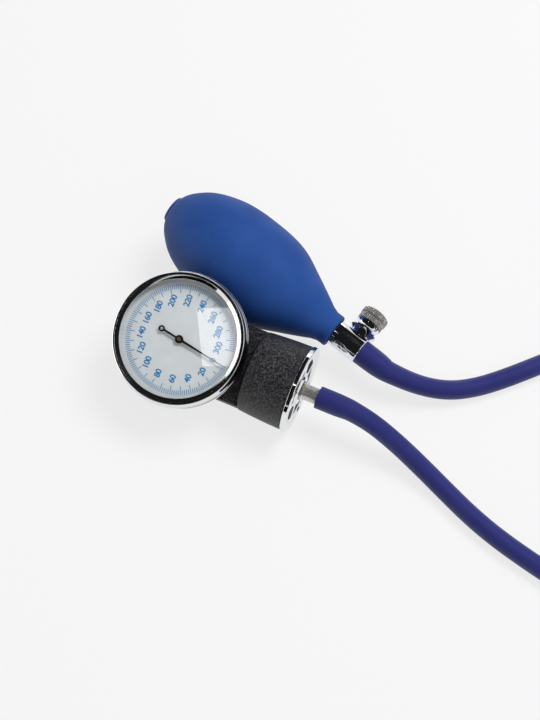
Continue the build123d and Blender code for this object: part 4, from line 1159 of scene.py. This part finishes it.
@dataclass(frozen=True)
class SqueezeBulb:
    """Moulded bulb, from the button to the collar, in millimetres in the bulb's frame."""

    length: float = 101.0
    outline: tuple[Pair, ...] = (
        (1.6, 7.3), (9.2, 16.2), (25.4, 23.5), (46.4, 25.3), (65.4, 23.0), (79.4, 16.7), (93.4, 9.5))
    first_slope: Pair = (0.35, 1.0)
    last_slope: Pair = (1.0, -0.55)
    button_radius: float = 6.75
    button_softness: float = 0.6
    collar_radius: float = 8.4
    collar_start: float = 96.6
    collar_softness: float = 0.9
    mouth: float = 5.6
    mouth_depth: float = 3.0
    parting: float = 40.4
    ridge_height: float = 0.07
    ridge_width: float = 0.35
    ridge_reach: float = 1.2
    ridge_step: float = 0.12
    segments: int = 192

    def profile(self) -> Points:
        """Read the part's own outline off a curve through its radii, with rounded ends."""
        curve = flowing(np.array(self.outline), self.first_slope, self.last_slope, 24)
        front, inner = self.length - 0.02, self.length - self.mouth_depth
        face = [(0.9, AXIS_RADIUS), (0.9, 4.0)]
        button = rounded([(0.2, 4.05), (0.2, self.button_radius - 0.1), (1.4, self.button_radius),
                          (1.65, 7.4)], self.button_softness, False)
        collar = rounded([self.outline[-1], (self.collar_start, self.collar_radius),
                          (front, self.collar_radius), (front, self.mouth + 0.1)],
                         self.collar_softness, False)
        inside = [(inner, self.mouth + 0.05), (inner, AXIS_RADIUS)]
        return np.concatenate([face, button, curve[1:-1], collar, inside]) - [self.length, 0]

    def ridge(self, along: Points, turn: Points, radius: Points) -> Points:
        """Raise a faint bell at the parting line: height times exp(-(distance / width) ** 2)."""
        off = along + self.length - self.parting
        return radius + self.ridge_height * np.exp(-(off / self.ridge_width) ** 2)

    def dense(self, profile: Points) -> Points:
        """Add points close together round the parting line, by straight interpolation.

        The first four points lie on the button's face, where the profile runs back.

        Args:
            profile: distances and radii.

        Returns:
            The profile with the added points.
        """
        place = self.parting - self.length
        extra = np.arange(place - self.ridge_reach, place + self.ridge_reach, self.ridge_step)
        radius = np.interp(extra, profile[4:, 0], profile[4:, 1])
        before = profile[profile[:, 0] < place - self.ridge_reach]
        after = profile[profile[:, 0] > place + self.ridge_reach]
        return np.concatenate([before, np.stack([extra, radius], -1), after])

    def build(self) -> Object:
        """Turn the outline, with a faint raised parting line round the belly."""
        mesh = lathe(BULB, self.dense(self.profile()), self.segments, shaping=self.ridge)
        return piece("squeeze_bulb", *mesh, "bulb_rubber", Body.KIT, ["bulb"])


def flowing(track: Points, first: Sequence[float], last: Sequence[float], steps: int) -> Points:
    """Smooth curve through points: a cubic Hermite of each span, with slopes across the two neighbours.

    Args:
        track: the points.
        first: direction of the curve at the first point.
        last: direction of the curve at the last point.
        steps: points on each span.

    Returns:
        Points along the curve.
    """
    chord = np.linalg.norm(np.diff(track, axis=0), axis=1)
    slope = np.gradient(track, np.concatenate([[0], np.cumsum(chord)]), axis=0)
    slope[0], slope[-1] = unit(first), unit(last)
    t = np.linspace(0, 1, steps, endpoint=False)[None, :, None]
    gap = chord[:, None, None]
    start, end = track[:-1, None], track[1:, None]
    lean, lean_end = slope[:-1, None] * gap, slope[1:, None] * gap
    curve = ((2 * t ** 3 - 3 * t ** 2 + 1) * start + (t ** 3 - 2 * t ** 2 + t) * lean
             + (3 * t ** 2 - 2 * t ** 3) * end + (t ** 3 - t ** 2) * lean_end)
    return np.concatenate([curve.reshape(-1, 2), track[-1:]])


@dataclass(frozen=True)
class ReleaseKnob:
    """Release knob with two knurled bands, in millimetres along its axis from the valve's."""

    foot: float = 13.35
    groove: Pair = (16.2, 16.7)
    top: float = 20.0
    crown: float = 0.7
    bore: float = 2.1
    inner_radius: float = 6.65
    outer_radius: float = 7.0
    groove_radius: float = 5.9
    softness: float = 0.15
    teeth: int = 40
    tooth_points: int = 8
    depth: float = 0.4

    def knurl(self, along: Points, turn: Points, radius: Points) -> Points:
        """Cut trapezoid grooves into the bands: depth times 1.6(1 - share) - 0.3, kept in 0 to 1."""
        share = np.abs((turn * self.teeth / (2 * math.pi)) % 1 - 0.5) * 2
        cut = self.depth * np.clip(1.6 * (1 - share) - 0.3, 0, 1)
        return np.where(radius > self.groove_radius + 0.35, radius - cut, radius)

    def build(self) -> Object:
        """Turn the knob's profile, from its foot over both bands to the crown, and cut its teeth."""
        low, high = self.groove
        foot, top, crest = self.foot, self.top, self.top + self.crown
        inner, outer, waist = self.inner_radius, self.outer_radius, self.groove_radius
        corners = [
            (foot, self.bore), (foot, inner - 0.35), (foot + 0.3, inner), (low - 0.25, inner),
            (low, inner - 0.3), (low, waist), (high, waist), (high, outer - 0.3),
            (high + 0.25, outer), (top - 0.35, outer), (top, outer - 0.5), (top + 0.15, outer - 0.9),
            (top + self.crown * 0.75, 4.2), (crest, 2.0), (crest, AXIS_RADIUS)]
        profile = rounded(corners, self.softness, False, 4)
        mesh = lathe(SIDE, profile, self.teeth * self.tooth_points, shaping=self.knurl)
        return piece("knurled_knob", *mesh, "nickel", Body.KNOB, ["release_knob"], angle=25.0)


# CAD nodes that stay


def dress_nodes() -> None:
    """Give every CAD node the material of its record slot."""
    slots = {s["node"]: s["material_slot"] for s in frame["record"]["subparts"]}
    for name, node in frame["nodes"].items():
        node.data.materials.clear()
        node.data.materials.append(paint(slots[name]))
    log.info("%d nodes dressed", len(slots))


def main() -> None:
    """Build the studio, the tubes, the gauge and the bulb, in that order."""
    logging.basicConfig(level=logging.INFO, format="%(message)s")
    Studio().build()
    dress_nodes()
    for tube in TUBES:
        tube.build()
    Bezel().build()
    dial = DialPrint()
    dial.ticks()
    dial.numerals()
    smooth_copy("head_case", "lacquered_case", "black_lacquer", 0.2)
    GaugeDrum().build()
    HoseStub().build()
    smooth_copy("end_cap", "chromed_cap", "chrome", 0.12)
    SqueezeBulb().build()
    ReleaseKnob().build()
    smooth_copy("valve_body", "plated_valve", "chrome", 0.12)
    smooth_copy("valve_neck", "plated_neck", "chrome", 0.1)


if __name__ == "__main__":
    main()
